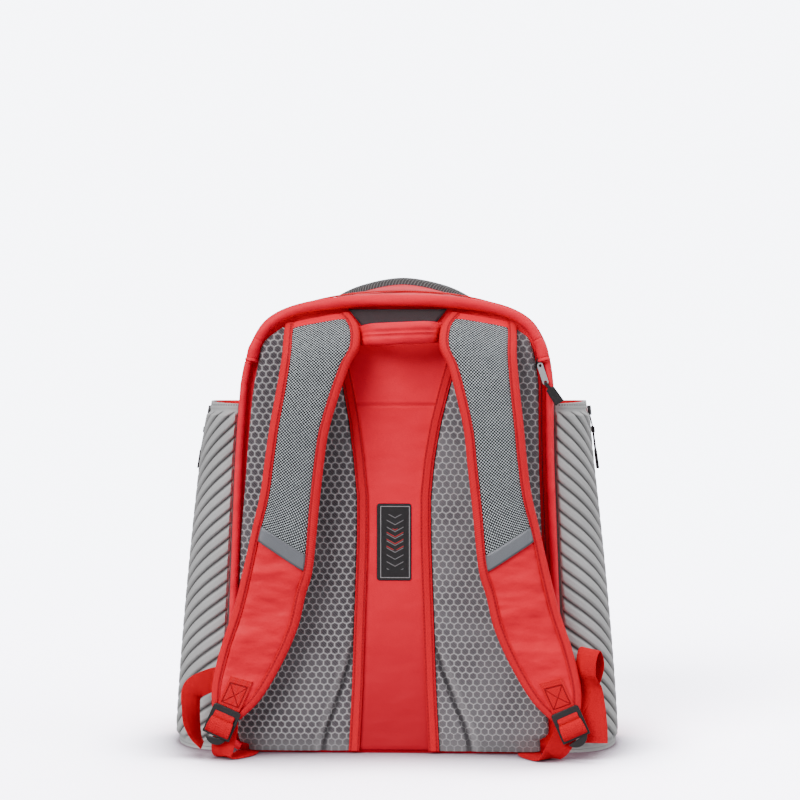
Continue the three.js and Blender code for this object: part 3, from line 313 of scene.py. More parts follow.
def skin(around, along, place, closed=False, ends=False, flip=False):
    """A cloth skin: a grid laid by place(u, v), which gives a point and the cloth's place across and along."""
    cloth = bmesh.new()
    bmesh.ops.create_grid(cloth, x_segments=around, y_segments=along, size=0.5)
    layer = cloth.loops.layers.uv.new("cloth")
    cloth.verts.ensure_lookup_table()
    measures = {}
    for vert in cloth.verts:
        point, measure = place(clamp(vert.co.x + 0.5), clamp(vert.co.y + 0.5))
        vert.co = point
        measures[vert] = measure
    for face in cloth.faces:
        for loop in face.loops:
            loop[layer].uv = measures[loop.vert]
    if flip:
        bmesh.ops.reverse_faces(cloth, faces=cloth.faces)
    if closed:
        bmesh.ops.remove_doubles(cloth, verts=cloth.verts, dist=1e-6)
    if ends:
        rim = [edge for edge in cloth.edges if edge.is_boundary]
        caps = bmesh.ops.holes_fill(cloth, edges=rim, sides=0)["faces"]
        bmesh.ops.poke(cloth, faces=caps)
    return cloth


def sew(name, cloth, finish, nodes=(), wall=0.0, sharp=50):
    """Makes the piece, gives it its finish and puts it in the place of its CAD nodes."""
    for face in cloth.faces:
        face.smooth = True
    for edge in cloth.edges:
        edge.smooth = edge.calc_face_angle(0) < math.radians(sharp)
    data = bpy.data.meshes.new(name)
    cloth.to_mesh(data)
    cloth.free()
    data.materials.append(finish)
    piece = bpy.data.objects.new(name, data)
    bpy.context.scene.collection.objects.link(piece)
    if wall:
        thick = piece.modifiers.new("Wall", "SOLIDIFY")
        thick.thickness = wall / 1000
        thick.offset = -1
    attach(piece, "root")
    if nodes:
        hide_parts(*nodes)
    return piece


def coated_cloth(name, colour, crease=1.0, shaded_foot=0.0):
    """Coated cloth: a fine woven grain under a soft shine, with shallow creases. A lit and a shaded copy of its
    colour, mixed by the grain and the folds, paint shade on the creases, and shaded_foot paints shade that
    darkens it towards its foot.
    """
    finish = Finish(name, Specular_IOR_Level=0.2)
    weave = finish.grain(0.9, 2.0, (1, 1, 2.2))
    folds = finish.grain(52, 2.0, (0.8, 1.0, 1.4))
    blots = finish.grain(15, 2.0, (0.7, 1.0, 1.3))
    # lit and deep are a lit and a shaded copy of the colour: mixed by the fold noise that also raises the
    # creases, they paint shade on the folds, and the weave mixes in as grain.
    lit = tuple(channel * 1.04 for channel in tone(*colour)[:3]) + (1.0,)
    deep = tuple(channel * 0.86 for channel in tone(*colour)[:3]) + (1.0,)
    grain_and_painted_shade = finish.mixed((weave * 0.7 + folds * 0.3).rise(0.3, 0.7), deep, lit)
    # Painted shade: the colour darkens towards the bottom of the piece, where the light falls off.
    if shaded_foot:
        height = finish.where()[2]
        painted_foot_shade = tuple(channel * 0.5 for channel in tone(*colour)[:3]) + (1.0,)
        grain_and_painted_shade = finish.mixed(height.rise(260, -30) * shaded_foot, grain_and_painted_shade, painted_foot_shade)
    return finish.wear(
        grain_and_painted_shade, 0.5 + blots * 0.16,
        weave * 0.14 + folds * 6.5 * crease + blots * 0.6 * crease)


red_wall = coated_cloth("Red_coated_cloth", red_cloth)


def gusset_place(u, v):
    x, z = outline(u, v)
    crown = step(0.3, 0.4, 0.5 - abs(u - 0.5)) * math.sin(math.pi * v)
    sag = crown * (1.1 + 1.6 * noise.noise(Vector((x / 55, v * 3, z / 55))))
    inner_x, inner_z = outline(u, v, sag)
    return spot(inner_x, wall_back + wall_width * v, inner_z), (u * 1300, v * wall_width)


gusset = sew("Gusset", skin(260, 18, gusset_place, closed=True, flip=True), red_wall,
             ["body_gusset"], wall=2.2)


def back_place(u, v):
    x, z = outline(u)
    return spot(x * v, -95, 250 + (z - 250) * v), (x * v, z * v)


back = sew("Back_panel", skin(160, 10, back_place, closed=True, flip=True), red_wall,
           ["back_panel"], wall=3)

# The main zip: woven red tape with a moulded coil of teeth, sewn over the top of the wall from shoulder to
# shoulder.
def zip_finish(name, colour, teeth):
    """Zip tape with its coil down the middle. The cloth's across runs from 0 at one edge of the tape."""
    finish = Finish(name, Specular_IOR_Level=0.2)
    across, along = finish.cloth()
    middle = abs(across - teeth)
    coil = middle.rise(1.9, 1.3)
    tooth = (along + across * 0.2).wave(1.7)
    ribs = along.wave(1.1)
    seam = middle.rise(0.5, 0.2)
    plain = finish.mixed(ribs * 0.5 + 0.5, tone(*(c * 0.84 for c in colour)), tone(*colour))
    toothed = finish.mixed(
        tooth * 0.5 + 0.5, tone(*(c * 0.68 for c in colour)), tone(*(c * 0.97 for c in colour)))
    # Painted shadow: a near-black line down the middle of the coil, where the two rows of teeth meet, which is
    # also sunk in the relief.
    closed = finish.mixed(seam, toothed, tone(*(c * 0.2 for c in colour)))
    return finish.wear(finish.mixed(coil, plain, closed), 0.7 - coil * 0.25,
                       coil * 0.7 + coil * tooth * 0.25 + ribs * 0.06 - seam * 0.5)


main_zip = zip_finish("Main_zip", (222, 4, 34), 9)


def main_zip_place(u, v):
    turn = mix(0.312, 0.688, v)
    y = mix(-60, -42, u)
    x, z = outline(turn, (y - wall_back) / wall_width, -1.7)
    return spot(x, y, z), (u * 18, v * 440)


sew("Main_zip", skin(8, 160, main_zip_place), main_zip, ["main_zip_tape"], wall=1.4)

# The front: a dome of ribbed grey foam, moulded in one piece and sewn to the front edge of the wall.
# Its ribs rise towards the middle, and a finely ribbed band follows its rim.
shell_rows = (
    (0.0, 1.0, 1.0, 0.0),
    (0.1, 1.035, 1.013, 0.001),
    (0.35, 1.05, 1.017, 0.006),
    (0.65, 1.02, 1.0, 0.018),
    (0.88, 0.93, 0.95, 0.045),
    (0.98, 0.8, 0.86, 0.1),
    (1.0, 0.5, 0.68, 0.3),
    (1.0, 0.0, 0.49, 0.49),
)
rib_pitch = 15.7
rib_slope = 0.76


def rib_rise(height, away, room):
    """Height of the moulded ribs: wide smooth crests and narrow grooves that end round before the margins."""
    phase = (height + rib_slope * away) / rib_pitch % 1
    return step(0.2, 7.0, min(min(phase, 1 - phase) * rib_pitch, room))


def shell_base(u, v):
    share = v / 0.4 * 5 / 7 if v < 0.4 else 5 / 7 + (v - 0.4) / 0.6 * 2 / 7
    out, wide, top, lift = between(shell_rows, share)
    x, z = outline(u, 1)
    return Vector((x * wide, 58.6 + out * 48, mix(max(lift, 0) * 519, top * 519, z / 519)))


def shell_place(u, v):
    point = shell_base(u, v)
    x, y, z = point
    ahead = shell_base(u, min(v + 0.004, 1)) - shell_base(u, max(v - 0.004, 0))
    aside = shell_base(min(u + 0.003, 1), v) - shell_base(max(u - 0.003, 0), v)
    face = ahead.cross(aside)
    if face.length > 1e-6 and v < 0.99:
        rim = (y - 58.6 - 17) * 0.8
        lift = 0.9 * rib_rise(z, abs(x), min(max(rim, 0), abs(x) - 7, z - 14, 7))
        point += face.normalized() * lift * (1 if face.dot(Vector((x, 60, z - 250))) > 0 else -1)
        point.z = max(point.z, 0.3)
    return spot(*point), (u * 1330, v * 260)


def moulded_grey(name, groove_shade_and_relief=None):
    """Moulded grey foam with a coated skin: a fine leathery grain, with painted shade darkening its grooves."""
    finish = Finish(name, Specular_IOR_Level=0.3)
    skin_grain = finish.grain(1.0, 3.0)
    cloud = finish.grain(60, 2.0)
    grain_and_groove_shade = finish.mixed(
        (skin_grain * 0.4 + cloud * 0.6).rise(0.3, 0.7), tone(158, 157, 156), tone(177, 176, 175))
    relief = skin_grain * 0.09
    if groove_shade_and_relief:
        painted_groove_shade, depth = groove_shade_and_relief(finish)
        # Painted shade: the dark grey goes where the grooves are.
        grain_and_groove_shade = finish.mixed(painted_groove_shade, grain_and_groove_shade, tone(50, 46, 46))
        relief = relief + depth
    return finish.wear(grain_and_groove_shade, 0.5 + skin_grain * 0.12, relief)


def shell_grooves_and_shade(finish):
    x, y, z = finish.where()
    around, _ = finish.cloth()
    phase = ((z + abs(x - 3) * rib_slope) * (1 / rib_pitch)) % 1
    near = phase.least(1 - phase) * rib_pitch
    domed = (y - depth_shift).rise(77, 82) * abs(x - 3).rise(6, 11)
    band = (y - depth_shift).rise(79, 75)
    ribs = (around + (y * 0.7)).wave(3.4)
    # Painted shade in the grooves between the dome's ribs.
    painted_groove_shade = near.rise(1.9, 0.3) * domed
    crest = near.rise(0.0, 6.5) * domed
    # The rim band is its own dark grey, with painted highlights lighter along the crests of its fine ribs.
    return painted_groove_shade * 0.85 + band * (0.97 - ribs.rise(0.2, 1.0) * 0.3), band * ribs * 0.45 + crest * 2.6


sew("Front_shell", skin(300, 90, shell_place, closed=True, flip=True),
    moulded_grey("Moulded_front", shell_grooves_and_shade), ["front_shell"], wall=3)

# The rolled edge: a thick padded roll of the red cloth, sewn over the top of the back and stitched across near
# each end. A thin piping of the same cloth goes from its ends down both sides.
def tube(route, radius, sides, steps):
    """A roll along route(v), which gives x, y and z in millimetres. radius(v, angle) is its own."""
    lengths = [0.0]
    for i in range(1, steps + 1):
        lengths.append(lengths[-1] + (Vector(route(i / steps)) - Vector(route((i - 1) / steps))).length)

    def place(u, v):
        here = Vector(route(v))
        along = (Vector(route(min(v + 0.004, 1))) - Vector(route(max(v - 0.004, 0)))).normalized()
        out = along.cross(Vector((0, -1, 0))).normalized()
        angle = u * 2 * math.pi
        reach = radius(v, angle)
        face = Vector((0, -1, 0)) * math.cos(angle) + out * math.sin(angle)
        return spot(*(here + face * reach)), (u * 2 * math.pi * reach, lengths[round(v * steps)])
    return skin(sides, steps, place, closed=True, ends=True)


def welt_route(v):
    x, z = outline(mix(0.3427, 0.6573, v), 0, 7)
    return x, -102.3, z


def welt_radius(v, angle):
    end = min(v, 1 - v) * 460
    joint = 0.9 * math.exp(-((end - 52) / 1.1) ** 2)
    cuff = 0.5 * step(9, 2, end) - 0.7 * math.exp(-((end - 8) / 1.2) ** 2) - 1.2 * step(0.8, 0, end)
    soft = 0.45 * noise.noise(Vector((v * 22, math.cos(angle), math.sin(angle))))
    slim = 1.5 * step(20, 60, end) * step(190, 140, end)
    return 6.6 - slim - joint + cuff + soft


def stitched(name, colour, lines, pitch=4.0, ribs=0.0, crease=0.4):
    """Cloth or tape with rows of stitches. lines are their places across, ribs the pitch of a ribbed tape."""
    finish = Finish(name, Specular_IOR_Level=0.18)
    across, along = finish.cloth()
    weave = finish.grain(0.8, 2.0)
    folds = finish.grain(30, 3.0)
    height = weave * 0.1 + folds * 3.0 * crease
    shade = weave * 0.6 + 0.2
    if ribs:
        rib = (along + across * 0.6).wave(ribs)
        height = height + rib * 0.12
        shade = shade + rib * 0.22
    base = finish.mixed(shade.rise(0.2, 0.85), tone(*(c * 0.8 for c in colour)), tone(*colour))
    for line in lines:
        near = abs(across - line)
        dash = (along % pitch).rise(pitch * 0.74, pitch * 0.66) * near.rise(0.6, 0.3)
        # The sunk line beside each row of stitches is darkened: painted shade in its groove.
        sunk_line_shade = near.rise(1.3, 0.3)
        height = height - sunk_line_shade * 0.6 + dash * 0.35
        base = finish.mixed(sunk_line_shade * 0.75, base, tone(*(c * 0.52 for c in colour)))
        base = finish.mixed(dash * 0.6, base, tone(*(c * 0.9 for c in colour)))
    return finish.wear(base, 0.62 + weave * 0.12, height)


roll_cloth = coated_cloth("Red_roll_cloth", (240, 2, 47), 0.8)
welt_skin = tube(welt_route, welt_radius, 20, 240)
welt = sew("Rolled_edge", welt_skin, roll_cloth, ["top_welt"])
for side, name in ((1, "right"), (-1, "left")):
    def piping_route(v, side=side):
        x, z = outline(mix(0.1108, 0.3405, v), 0, 4.4)
        return side * x, -99.7, z

    def piping_radius(v, angle):
        return 4.3 + 0.12 * noise.noise(Vector((v * 40, math.cos(angle), math.sin(angle))))
    piping_skin = tube(piping_route, piping_radius, 12, 160)
    if side < 0:
        bmesh.ops.recalc_face_normals(piping_skin, faces=piping_skin.faces)
    sew("Piping_" + name, piping_skin, roll_cloth, ["side_piping_" + name])

# The back pads: foam under a honeycomb air mesh, one on each side of the channel. Their inner bottom corners
# are pressed down along a crease.
pad_rows = (
    (3, 0.85, 0.268), (10, 0.905, 0.266), (29.9, 0.93, 0.26), (74.7, 0.932, 0.248), (132, 0.928, 0.238),
    (181.8, 0.915, 0.228), (234, 0.905, 0.219), (278.9, 0.885, 0.219), (318.7, 0.87, 0.24),
    (358.6, 0.858, 0.272), (393.4, 0.845, 0.312), (423.3, 0.82, 0.352), (445.7, 0.79, 0.41), (462, 0.68, 0.54),
)


def half_width(z):
    """Half the width of the back at a height above its bottom corners."""
    low, high = 0.14, 0.5
    for _ in range(24):
        middle = (low + high) / 2
        if outline(middle)[1] < z:
            low = middle
        else:
            high = middle
    return outline(low)[0]


def edge_room(z, inset):
    if z < corner_radius:
        drop = corner_radius - max(z, inset)
        return back_half - corner_radius + math.sqrt(max(0, (corner_radius - inset) ** 2 - drop ** 2))
    return half_width(z) - inset


def channel_half(z):
    share = 0.0
    for i in range(len(pad_rows) - 1):
        if pad_rows[i][0] <= z:
            share = i + clamp((z - pad_rows[i][0]) / (pad_rows[i + 1][0] - pad_rows[i][0]))
    i = min(int(share), len(pad_rows) - 2)
    return mix(pad_rows[i][2], pad_rows[i + 1][2], share - i) * back_half


def pad_place(side, name, foot):
    inset = 16.7 if name == "right" else 9.7

    def place(u, v):
        z, outer, inner = between(pad_rows, v)
        z = clamp(z, 3, 462)
        inner *= back_half
        outer = min(outer * back_half, edge_room(z, inset))
        front = u <= 0.5
        across = 2 * u if front else 2 - 2 * u
        eased = across - 0.07 * math.sin(2 * math.pi * across)
        x = mix(inner, outer, eased)
        lift = 0.0
        if front:
            crease = foot * step(136, 0, z) / (outer - inner)
            beyond = clamp((eased - crease) / (1 - crease))
            rim = 1 - abs(2 * beyond - 1) ** 6
            ends = min(1, min(z, 462 - z) / 20)
            lift = 3 + 7 * math.sqrt(clamp(rim) * clamp(ends))
            lift += 0.5 * noise.noise(Vector((x / 40, z / 60, side * 3.0))) * clamp(rim)
            if eased < crease:
                lift = 3.2 + 1.2 * math.sin(math.pi * clamp(eased / crease))
        return spot(side * x, -95.3 - lift, z), (x, z)
    return place


def honeycomb(name, foot):
    """Air mesh: light walls in a honeycomb over a darker, fine ground. Cells are 8.3 mm wide.
    The mesh is pulled in along a crease that runs out to foot at the bottom of the pad. Painted shadow darkens
    the crease, a painted highlight lightens the band beside it, and the holes are painted lighter towards the
    right."""
    finish = Finish(name, Specular_IOR_Level=0.15, Sheen_Weight=0.35, Sheen_Roughness=0.35)
    x, _, z = finish.where()
    wobble = finish.grain(26, 1.0) * 2.6
    across, up = x + wobble, (z + wobble * 0.8) * 1.081
    distance = None
    for shift in (0.0, 0.5):
        local_x = abs((across * (1 / 8.3) + shift) % 1 - 0.5) * 8.3
        local_z = abs((up * (1 / 14.376) + shift) % 1 - 0.5) * 14.376
        cell = local_x.most(local_x * 0.5 + local_z * 0.8660254)
        distance = cell if distance is None else distance.least(cell)
    wall = distance.rise(3.5, 4.0)
    ring = distance.rise(2.3, 3.1)
    fine = (x + z).wave(2.9) * 0.7 + (x - z).wave(1.7) * 0.3
    plain = z.rise(30, 6)
    cloud = finish.grain(60, 2.0)
    hole = finish.mixed(fine.rise(-0.8, 0.8), tone(48, 43, 47), tone(92, 86, 90))
    # Painted light: the holes are lighter towards the right side of the bag.
    hole = finish.mixed(cloud.rise(0.42, 0.62) * 0.3 + x.rise(-60, 90) * 0.3, hole, tone(118, 114, 117))
    hole = finish.mixed(ring * 0.6, hole, tone(124, 119, 121))
    ground = finish.mixed(plain * 0.8, hole, tone(112, 108, 110))
    colour = finish.mixed(wall * (0.95 - plain * 0.6), ground, tone(194, 190, 191))
    from_crease = abs(x) - 43 - z.rise(136, 0) * foot - z.rise(60, 0) * 4
    crease = abs(from_crease).rise(4.5, 0.3) * z.rise(136, 96)
    rim = abs(from_crease - 7).rise(7, 1) * z.rise(130, 90)
    # Painted light: a painted highlight lightens the band beside the crease, and a painted shadow darkens the
    # crease itself.
    colour = finish.mixed(rim * 0.2, colour, tone(182, 178, 179))
    colour = finish.mixed(crease * 0.8, colour, tone(40, 36, 39))
    return finish.wear(colour, 0.82 - wall * 0.1, wall * (1 - plain * 0.7) * 0.6 + fine * 0.08 - crease * 2.5)


for side, name, foot in ((-1, "left", 29), (1, "right", 35)):
    cloth = skin(72, 150, pad_place(side, name, foot), closed=True, ends=True, flip=side > 0)
    pad = sew("Back_pad_" + name, cloth, honeycomb("Honeycomb_mesh_" + name, foot),
              ["back_pad_" + name])

# The channel between the pads: a panel of coated red cloth in two lengths with a lapped seam. A wide edge
# bound with ribbed red tape holds it down on each side, with two rows of stitches.
def panel_place(u, v):
    z = mix(3, 461.7, v)
    half = channel_half(z) - 0.3 if z < 432 else mix(channel_half(432), 65.6, (z - 432) / 30)
    x = half * (2 * u - 1)
    lap = 1.4 * step(378.2, 379.6, z) - 0.9 * math.exp(-((z - 377.6) / 0.9) ** 2)
    edge = math.sin(math.pi * u) ** 0.5
    soft = edge * step(300, 400, z) * 2.4 * noise.noise(Vector((x / 42 + z / 70, 0.4, z / 34)))
    belly = edge * 1.1
    return spot(x, -97.3 - max(-0.4, lap + belly + soft - 1.0 * step(8, 3, z)), z), (x, z)


# The panel's cloth is darkened towards its foot by painted shade.
panel_cloth = coated_cloth("Red_panel_cloth", (238, 1, 44), 0.55, 1.0)
panel = sew("Centre_panel", skin(24, 240, panel_place, flip=False), panel_cloth,
            ["centre_panel"], wall=1.8)
edge_tape = stitched("Red_edge_tape", (238, 2, 36), (1.4, 9.4), ribs=1.5)
for side, name in ((-1, "left"), (1, "right")):
    def bound_place(u, v, side=side):
        z = mix(3, 432, v)
        outer = channel_half(z) - 0.3
        angle = u * 2 * math.pi
        flat = [math.copysign(abs(part) ** 0.45, part) for part in (math.cos(angle), math.sin(angle))]
        x = outer - 5.75 + 5.75 * flat[0]
        y = -98.8 - 1.25 + 1.25 * flat[1] * (-1)
        return spot(side * x, y, z), (5.75 + 5.75 * flat[0], z)
    sew("Channel_edge_" + name, skin(24, 200, bound_place, closed=True, ends=True, flip=side > 0),
        edge_tape, ["channel_binding_" + name])

# The yoke: a dark mesh panel sewn in between the strap tops. Over it is the haul handle, a padded tube of the
# red cloth with a piped seam along its middle, sewn down flat at both ends.
def yoke_place(u, v):
    half = mix(38, 53.5, v)
    return spot(half * (2 * u - 1), -98.3, mix(462, 481.5, v)), (half * (2 * u - 1), v * 20)


dark_mesh = Finish("Dark_mesh", Specular_IOR_Level=0.2)
dark_across, dark_along = dark_mesh.cloth()
dark_knit = (dark_across + dark_along).wave(2.2) * (dark_across - dark_along).wave(2.2)
dark_finish = dark_mesh.wear(
    dark_mesh.mixed(dark_knit.rise(-0.4, 0.6), tone(46, 39, 42), tone(84, 74, 77)), None, dark_knit * 0.15)
yoke = sew("Yoke_mesh", skin(20, 10, yoke_place), dark_finish, ["yoke_panel"], wall=3)

handle_rows = (
    (-1.0, 0.042, 0.24, 0.8), (-0.84, 0.14, 0.26, 0.84), (-0.69, 0.42, 0.5, 0.93), (-0.5, 0.84, 0.92, 1.0),
    (-0.2, 0.99, 1.0, 1.0), (0.2, 0.99, 1.0, 1.0), (0.5, 0.84, 0.92, 1.0), (0.69, 0.42, 0.5, 0.93),
    (0.84, 0.14, 0.26, 0.84), (1.0, 0.042, 0.24, 0.8),
)


def handle_centre(v):
    along, out, thick, tall = between(handle_rows, v)
    return Vector((along * 57 + 3, -98 - out * 33, 454 + 2.4 * along)), thick, tall


def handle_place(u, v):
    here, thick, tall = handle_centre(v)
    along = (handle_centre(min(v + 0.01, 1))[0] - handle_centre(max(v - 0.01, 0))[0]).normalized()
    out = Vector((along.y, -along.x, 0)).normalized()
    angle = (u - 0.25) * 2 * math.pi
    from_seam = abs(angle)
    pipe = thick * (2.4 * math.exp(-(from_seam / 0.09) ** 2) - 2.6 * math.exp(-(from_seam / 0.22) ** 2))
    pinch = 1.0 * math.exp(-((min(v, 1 - v) - 0.2) / 0.009) ** 2)
    reach_out = math.copysign(abs(math.cos(angle)) ** 0.8, math.cos(angle)) * (thick * 7.5 - pinch)
    reach_up = math.copysign(abs(math.sin(angle)) ** 0.8, math.sin(angle)) * (tall * 12 - pinch)
    soft = 1.1 * thick * noise.noise(Vector((here.x / 14, math.cos(angle), math.sin(angle))))
    point = here + out * (reach_out + pipe + soft) + Vector((0, 0, reach_up))
    return spot(*point), ((u - 0.25) * 60, v * 150)


handle = sew("Haul_handle", skin(64, 120, handle_place, closed=True, ends=True), roll_cloth,
             ["haul_handle"])

# The label: a woven black patch, sewn on the channel. It has a grey line round its edge and a plain pattern of
# chevrons, a few of them red.
def refined(name, node, finish, bevel):
    """A CAD node's own shape with its edges rounded."""
    solid = bmesh.new()
    solid.from_mesh(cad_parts[node].data)
    bmesh.ops.remove_doubles(solid, verts=solid.verts, dist=1e-6)
    bmesh.ops.dissolve_limit(solid, angle_limit=math.radians(2), verts=solid.verts, edges=solid.edges)
    piece = sew(name, solid, finish, [node], sharp=30)
    soften = piece.modifiers.new("Soft_edges", "BEVEL")
    soften.width = bevel / 1000
    soften.segments = 3
    soften.limit_method = "ANGLE"
    soften.angle_limit = math.radians(35)
    return piece


patch = Finish("Black_label", Specular_IOR_Level=0.3)
label_x, _, label_z = patch.where()
label_x = label_x - 1.1
label_z = label_z - 229.1
label_edge = (abs(label_x) - 18.75).most(abs(label_z) - 41.75)
label_line = abs(label_edge + 3.2).rise(0.55, 0.25)
label_field = abs(label_x).rise(9.3, 8.9) * abs(label_z).rise(30.2, 29.8)
label_steps = (label_z - abs(label_x) * 0.55) % 7.5
label_chevrons = abs(label_steps - 3.75).rise(0.7, 0.35) * label_field
label_red = abs(label_steps - 5.6).rise(0.55, 0.3) * label_field * abs(label_z - 3).rise(12, 11)
label_knit = (label_x + label_z).wave(0.9) * (label_x - label_z).wave(0.9)
label_colour = patch.mixed(label_knit.rise(-0.6, 0.6), tone(20, 18, 20), tone(36, 33, 35))
label_colour = patch.mixed(label_chevrons * 0.55, label_colour, tone(150, 146, 148))
label_colour = patch.mixed(label_red, label_colour, tone(190, 40, 44))
label_colour = patch.mixed(label_line * 0.8, label_colour, tone(168, 164, 166))
refined("Label", "label_patch", patch.wear(
    label_colour, None, label_knit * 0.08 + label_line * 0.15 + label_chevrons * 0.1),
    0.5)

# The shoulder straps: S-shaped foam pads, fine two-tone air mesh above and coated red cloth below. Both edges
# are bound with a ribbed red tape, and a grey reflective strip is sewn over the joint.
strap_rows = (
    (1.0, 0.936, 0.437, 0.962, 0.121, 0.5),
    (1.0, 0.906, 0.353, 0.932, 0.45, 0.75),
    (0.997, 0.871, 0.341, 0.888, 0.73, 1.0),
    (1.004, 0.84, 0.417, 0.843, 0.865, 1.0),
    (1.028, 0.787, 0.492, 0.779, 0.96, 1.0),
    (1.071, 0.709, 0.567, 0.703, 1.0, 1.0),
    (1.103, 0.643, 0.606, 0.625, 0.98, 1.0),
    (1.143, 0.57, 0.647, 0.534, 0.94, 1.0),
    (1.212, 0.496, 0.7, 0.408, 0.895, 1.0),
    (1.298, 0.402, 0.764, 0.349, 0.83, 1.0),
    (1.379, 0.321, 0.829, 0.281, 0.77, 0.95),
    (1.492, 0.235, 0.956, 0.207, 0.73, 0.85),
    (1.56, 0.161, 1.138, 0.129, 0.73, 0.7),
    (1.563, 0.112, 1.313, 0.084, 0.73, 0.55),
)
strap_last = len(strap_rows) - 1
strap_joint = 8
tape_width = 10
strap_spread, strap_reach_out, strap_thick = 126, 52, 12
back_face, body_height = -95, 498


def strap_edges(side, place):
    outer, outer_up, inner, inner_up, out, thick = between(strap_rows, place / strap_last)
    y = back_face - out * strap_reach_out
    return (Vector((side * outer * strap_spread + 3, y, outer_up * body_height)),
            Vector((side * inner * strap_spread + 3, y, inner_up * body_height)), thick * strap_thick)


def strap_frame(side, place):
    """The strap at one of its rows: its inner edge, the ways across and outwards, its width and thickness."""
    outer, inner, thick = strap_edges(side, place)
    before = strap_edges(side, max(place - 0.08, 0))
    after = strap_edges(side, min(place + 0.08, strap_last))
    along = (after[0] + after[1] - before[0] - before[1]).normalized()
    across = (outer - inner).normalized()
    face = (across.cross(along) * side).normalized()
    if face.y > 0:
        face.negate()
    return inner, across, face, (outer - inner).length, thick


strap_reach = {}
for strap_side in (-1, 1):
    strap_reach[strap_side] = [0.0]
    for k in range(1, 281):
        ends = [strap_edges(strap_side, strap_last * (k - d) / 280) for d in (0, 1)]
        middle = [(end[0] + end[1]) / 2 for end in ends]
        strap_reach[strap_side].append(strap_reach[strap_side][-1] + (middle[0] - middle[1]).length)


def strap_along(side, place):
    spot_on = clamp(place / strap_last) * 280
    k = min(int(spot_on), 279)
    return mix(strap_reach[side][k], strap_reach[side][k + 1], spot_on - k)


def strap_place(side, first, last, drop=0.0):
    def place(u, v):
        row = mix(first, last, v)
        inner, across, face, width, thick = strap_frame(side, row)
        angle = u * 2 * math.pi
        wide, deep = (math.copysign(abs(part) ** 0.55, part) for part in (math.cos(angle), math.sin(angle)))
        half = width / 2 - tape_width + 0.8
        lower = step(strap_joint, strap_joint + 1.5, row)
        wrinkle = noise.noise(Vector((row * 2.6, wide * 0.5, side * 5.0)))
        fold = noise.noise(Vector((row * 7.0 + wide, 3.0, side * 2.0)))
        soft = (0.35 + 0.75 * lower) * wrinkle * (1 - wide * wide * 0.6) + 0.35 * lower * fold
        lift = -thick / 2 + thick / 2 * deep + (soft if deep > 0 else 0)
        point = inner + across * (width / 2 - half * wide) + face * lift
        point.z -= drop
        return spot(*point), (width / 2 + half * wide, strap_along(side, row))
    return place


def strap_knit(name):
    """Fine two-tone air mesh, with a band of the red cloth at the very top of the strap."""
    finish = Finish(name, Specular_IOR_Level=0.15)
    across, along = finish.cloth()
    cloud = finish.grain(30, 2.0)
    dots = across.wave(3.4) * along.wave(3.4)
    fine = finish.grain(1.2, 1.0)
    knit = finish.mixed(dots.rise(-0.34, -0.1), tone(200, 206, 209), tone(10, 10, 11))
    knit = finish.mixed(cloud.rise(0.35, 0.75) * 0.12, knit, tone(70, 72, 75))
    band = along.rise(10.2, 9.6)
    red = finish.mixed(fine, tone(226, 4, 40), tone(246, 5, 50))
    step_edge = abs(along - 10.0).rise(1.4, 0.3)
    return finish.wear(finish.mixed(band, knit, red), 0.85 - band * 0.3,
                       (1 - band) * (0 - dots) * 0.3 + band * 0.7 + cloud * 2.2 + fine * 0.06 - step_edge * 0.3)


strap_mesh = strap_knit("Strap_air_mesh")
strap_cloth = coated_cloth("Red_strap_cloth", (229, 1, 40), 2.0)
strap_tape = stitched("Red_strap_tape", (238, 2, 36), (1.9,), ribs=1.6, crease=0.6)
glass_cloth = Finish("Reflective_strip", Metallic=0.35, Specular_IOR_Level=0.6)
glass_across, glass_along = glass_cloth.cloth()
glass_lines = (glass_across + glass_along).wave(1.6)
glass_edge = abs(glass_along).rise(5.2, 5.8)
reflective = glass_cloth.wear(
    glass_cloth.mixed(glass_edge * 0.6, glass_cloth.mixed(glass_lines.rise(-1, 1), tone(104, 106, 111),
                      tone(128, 130, 135)), tone(88, 88, 93)), 0.4 + glass_lines * 0.05, glass_lines * 0.05)

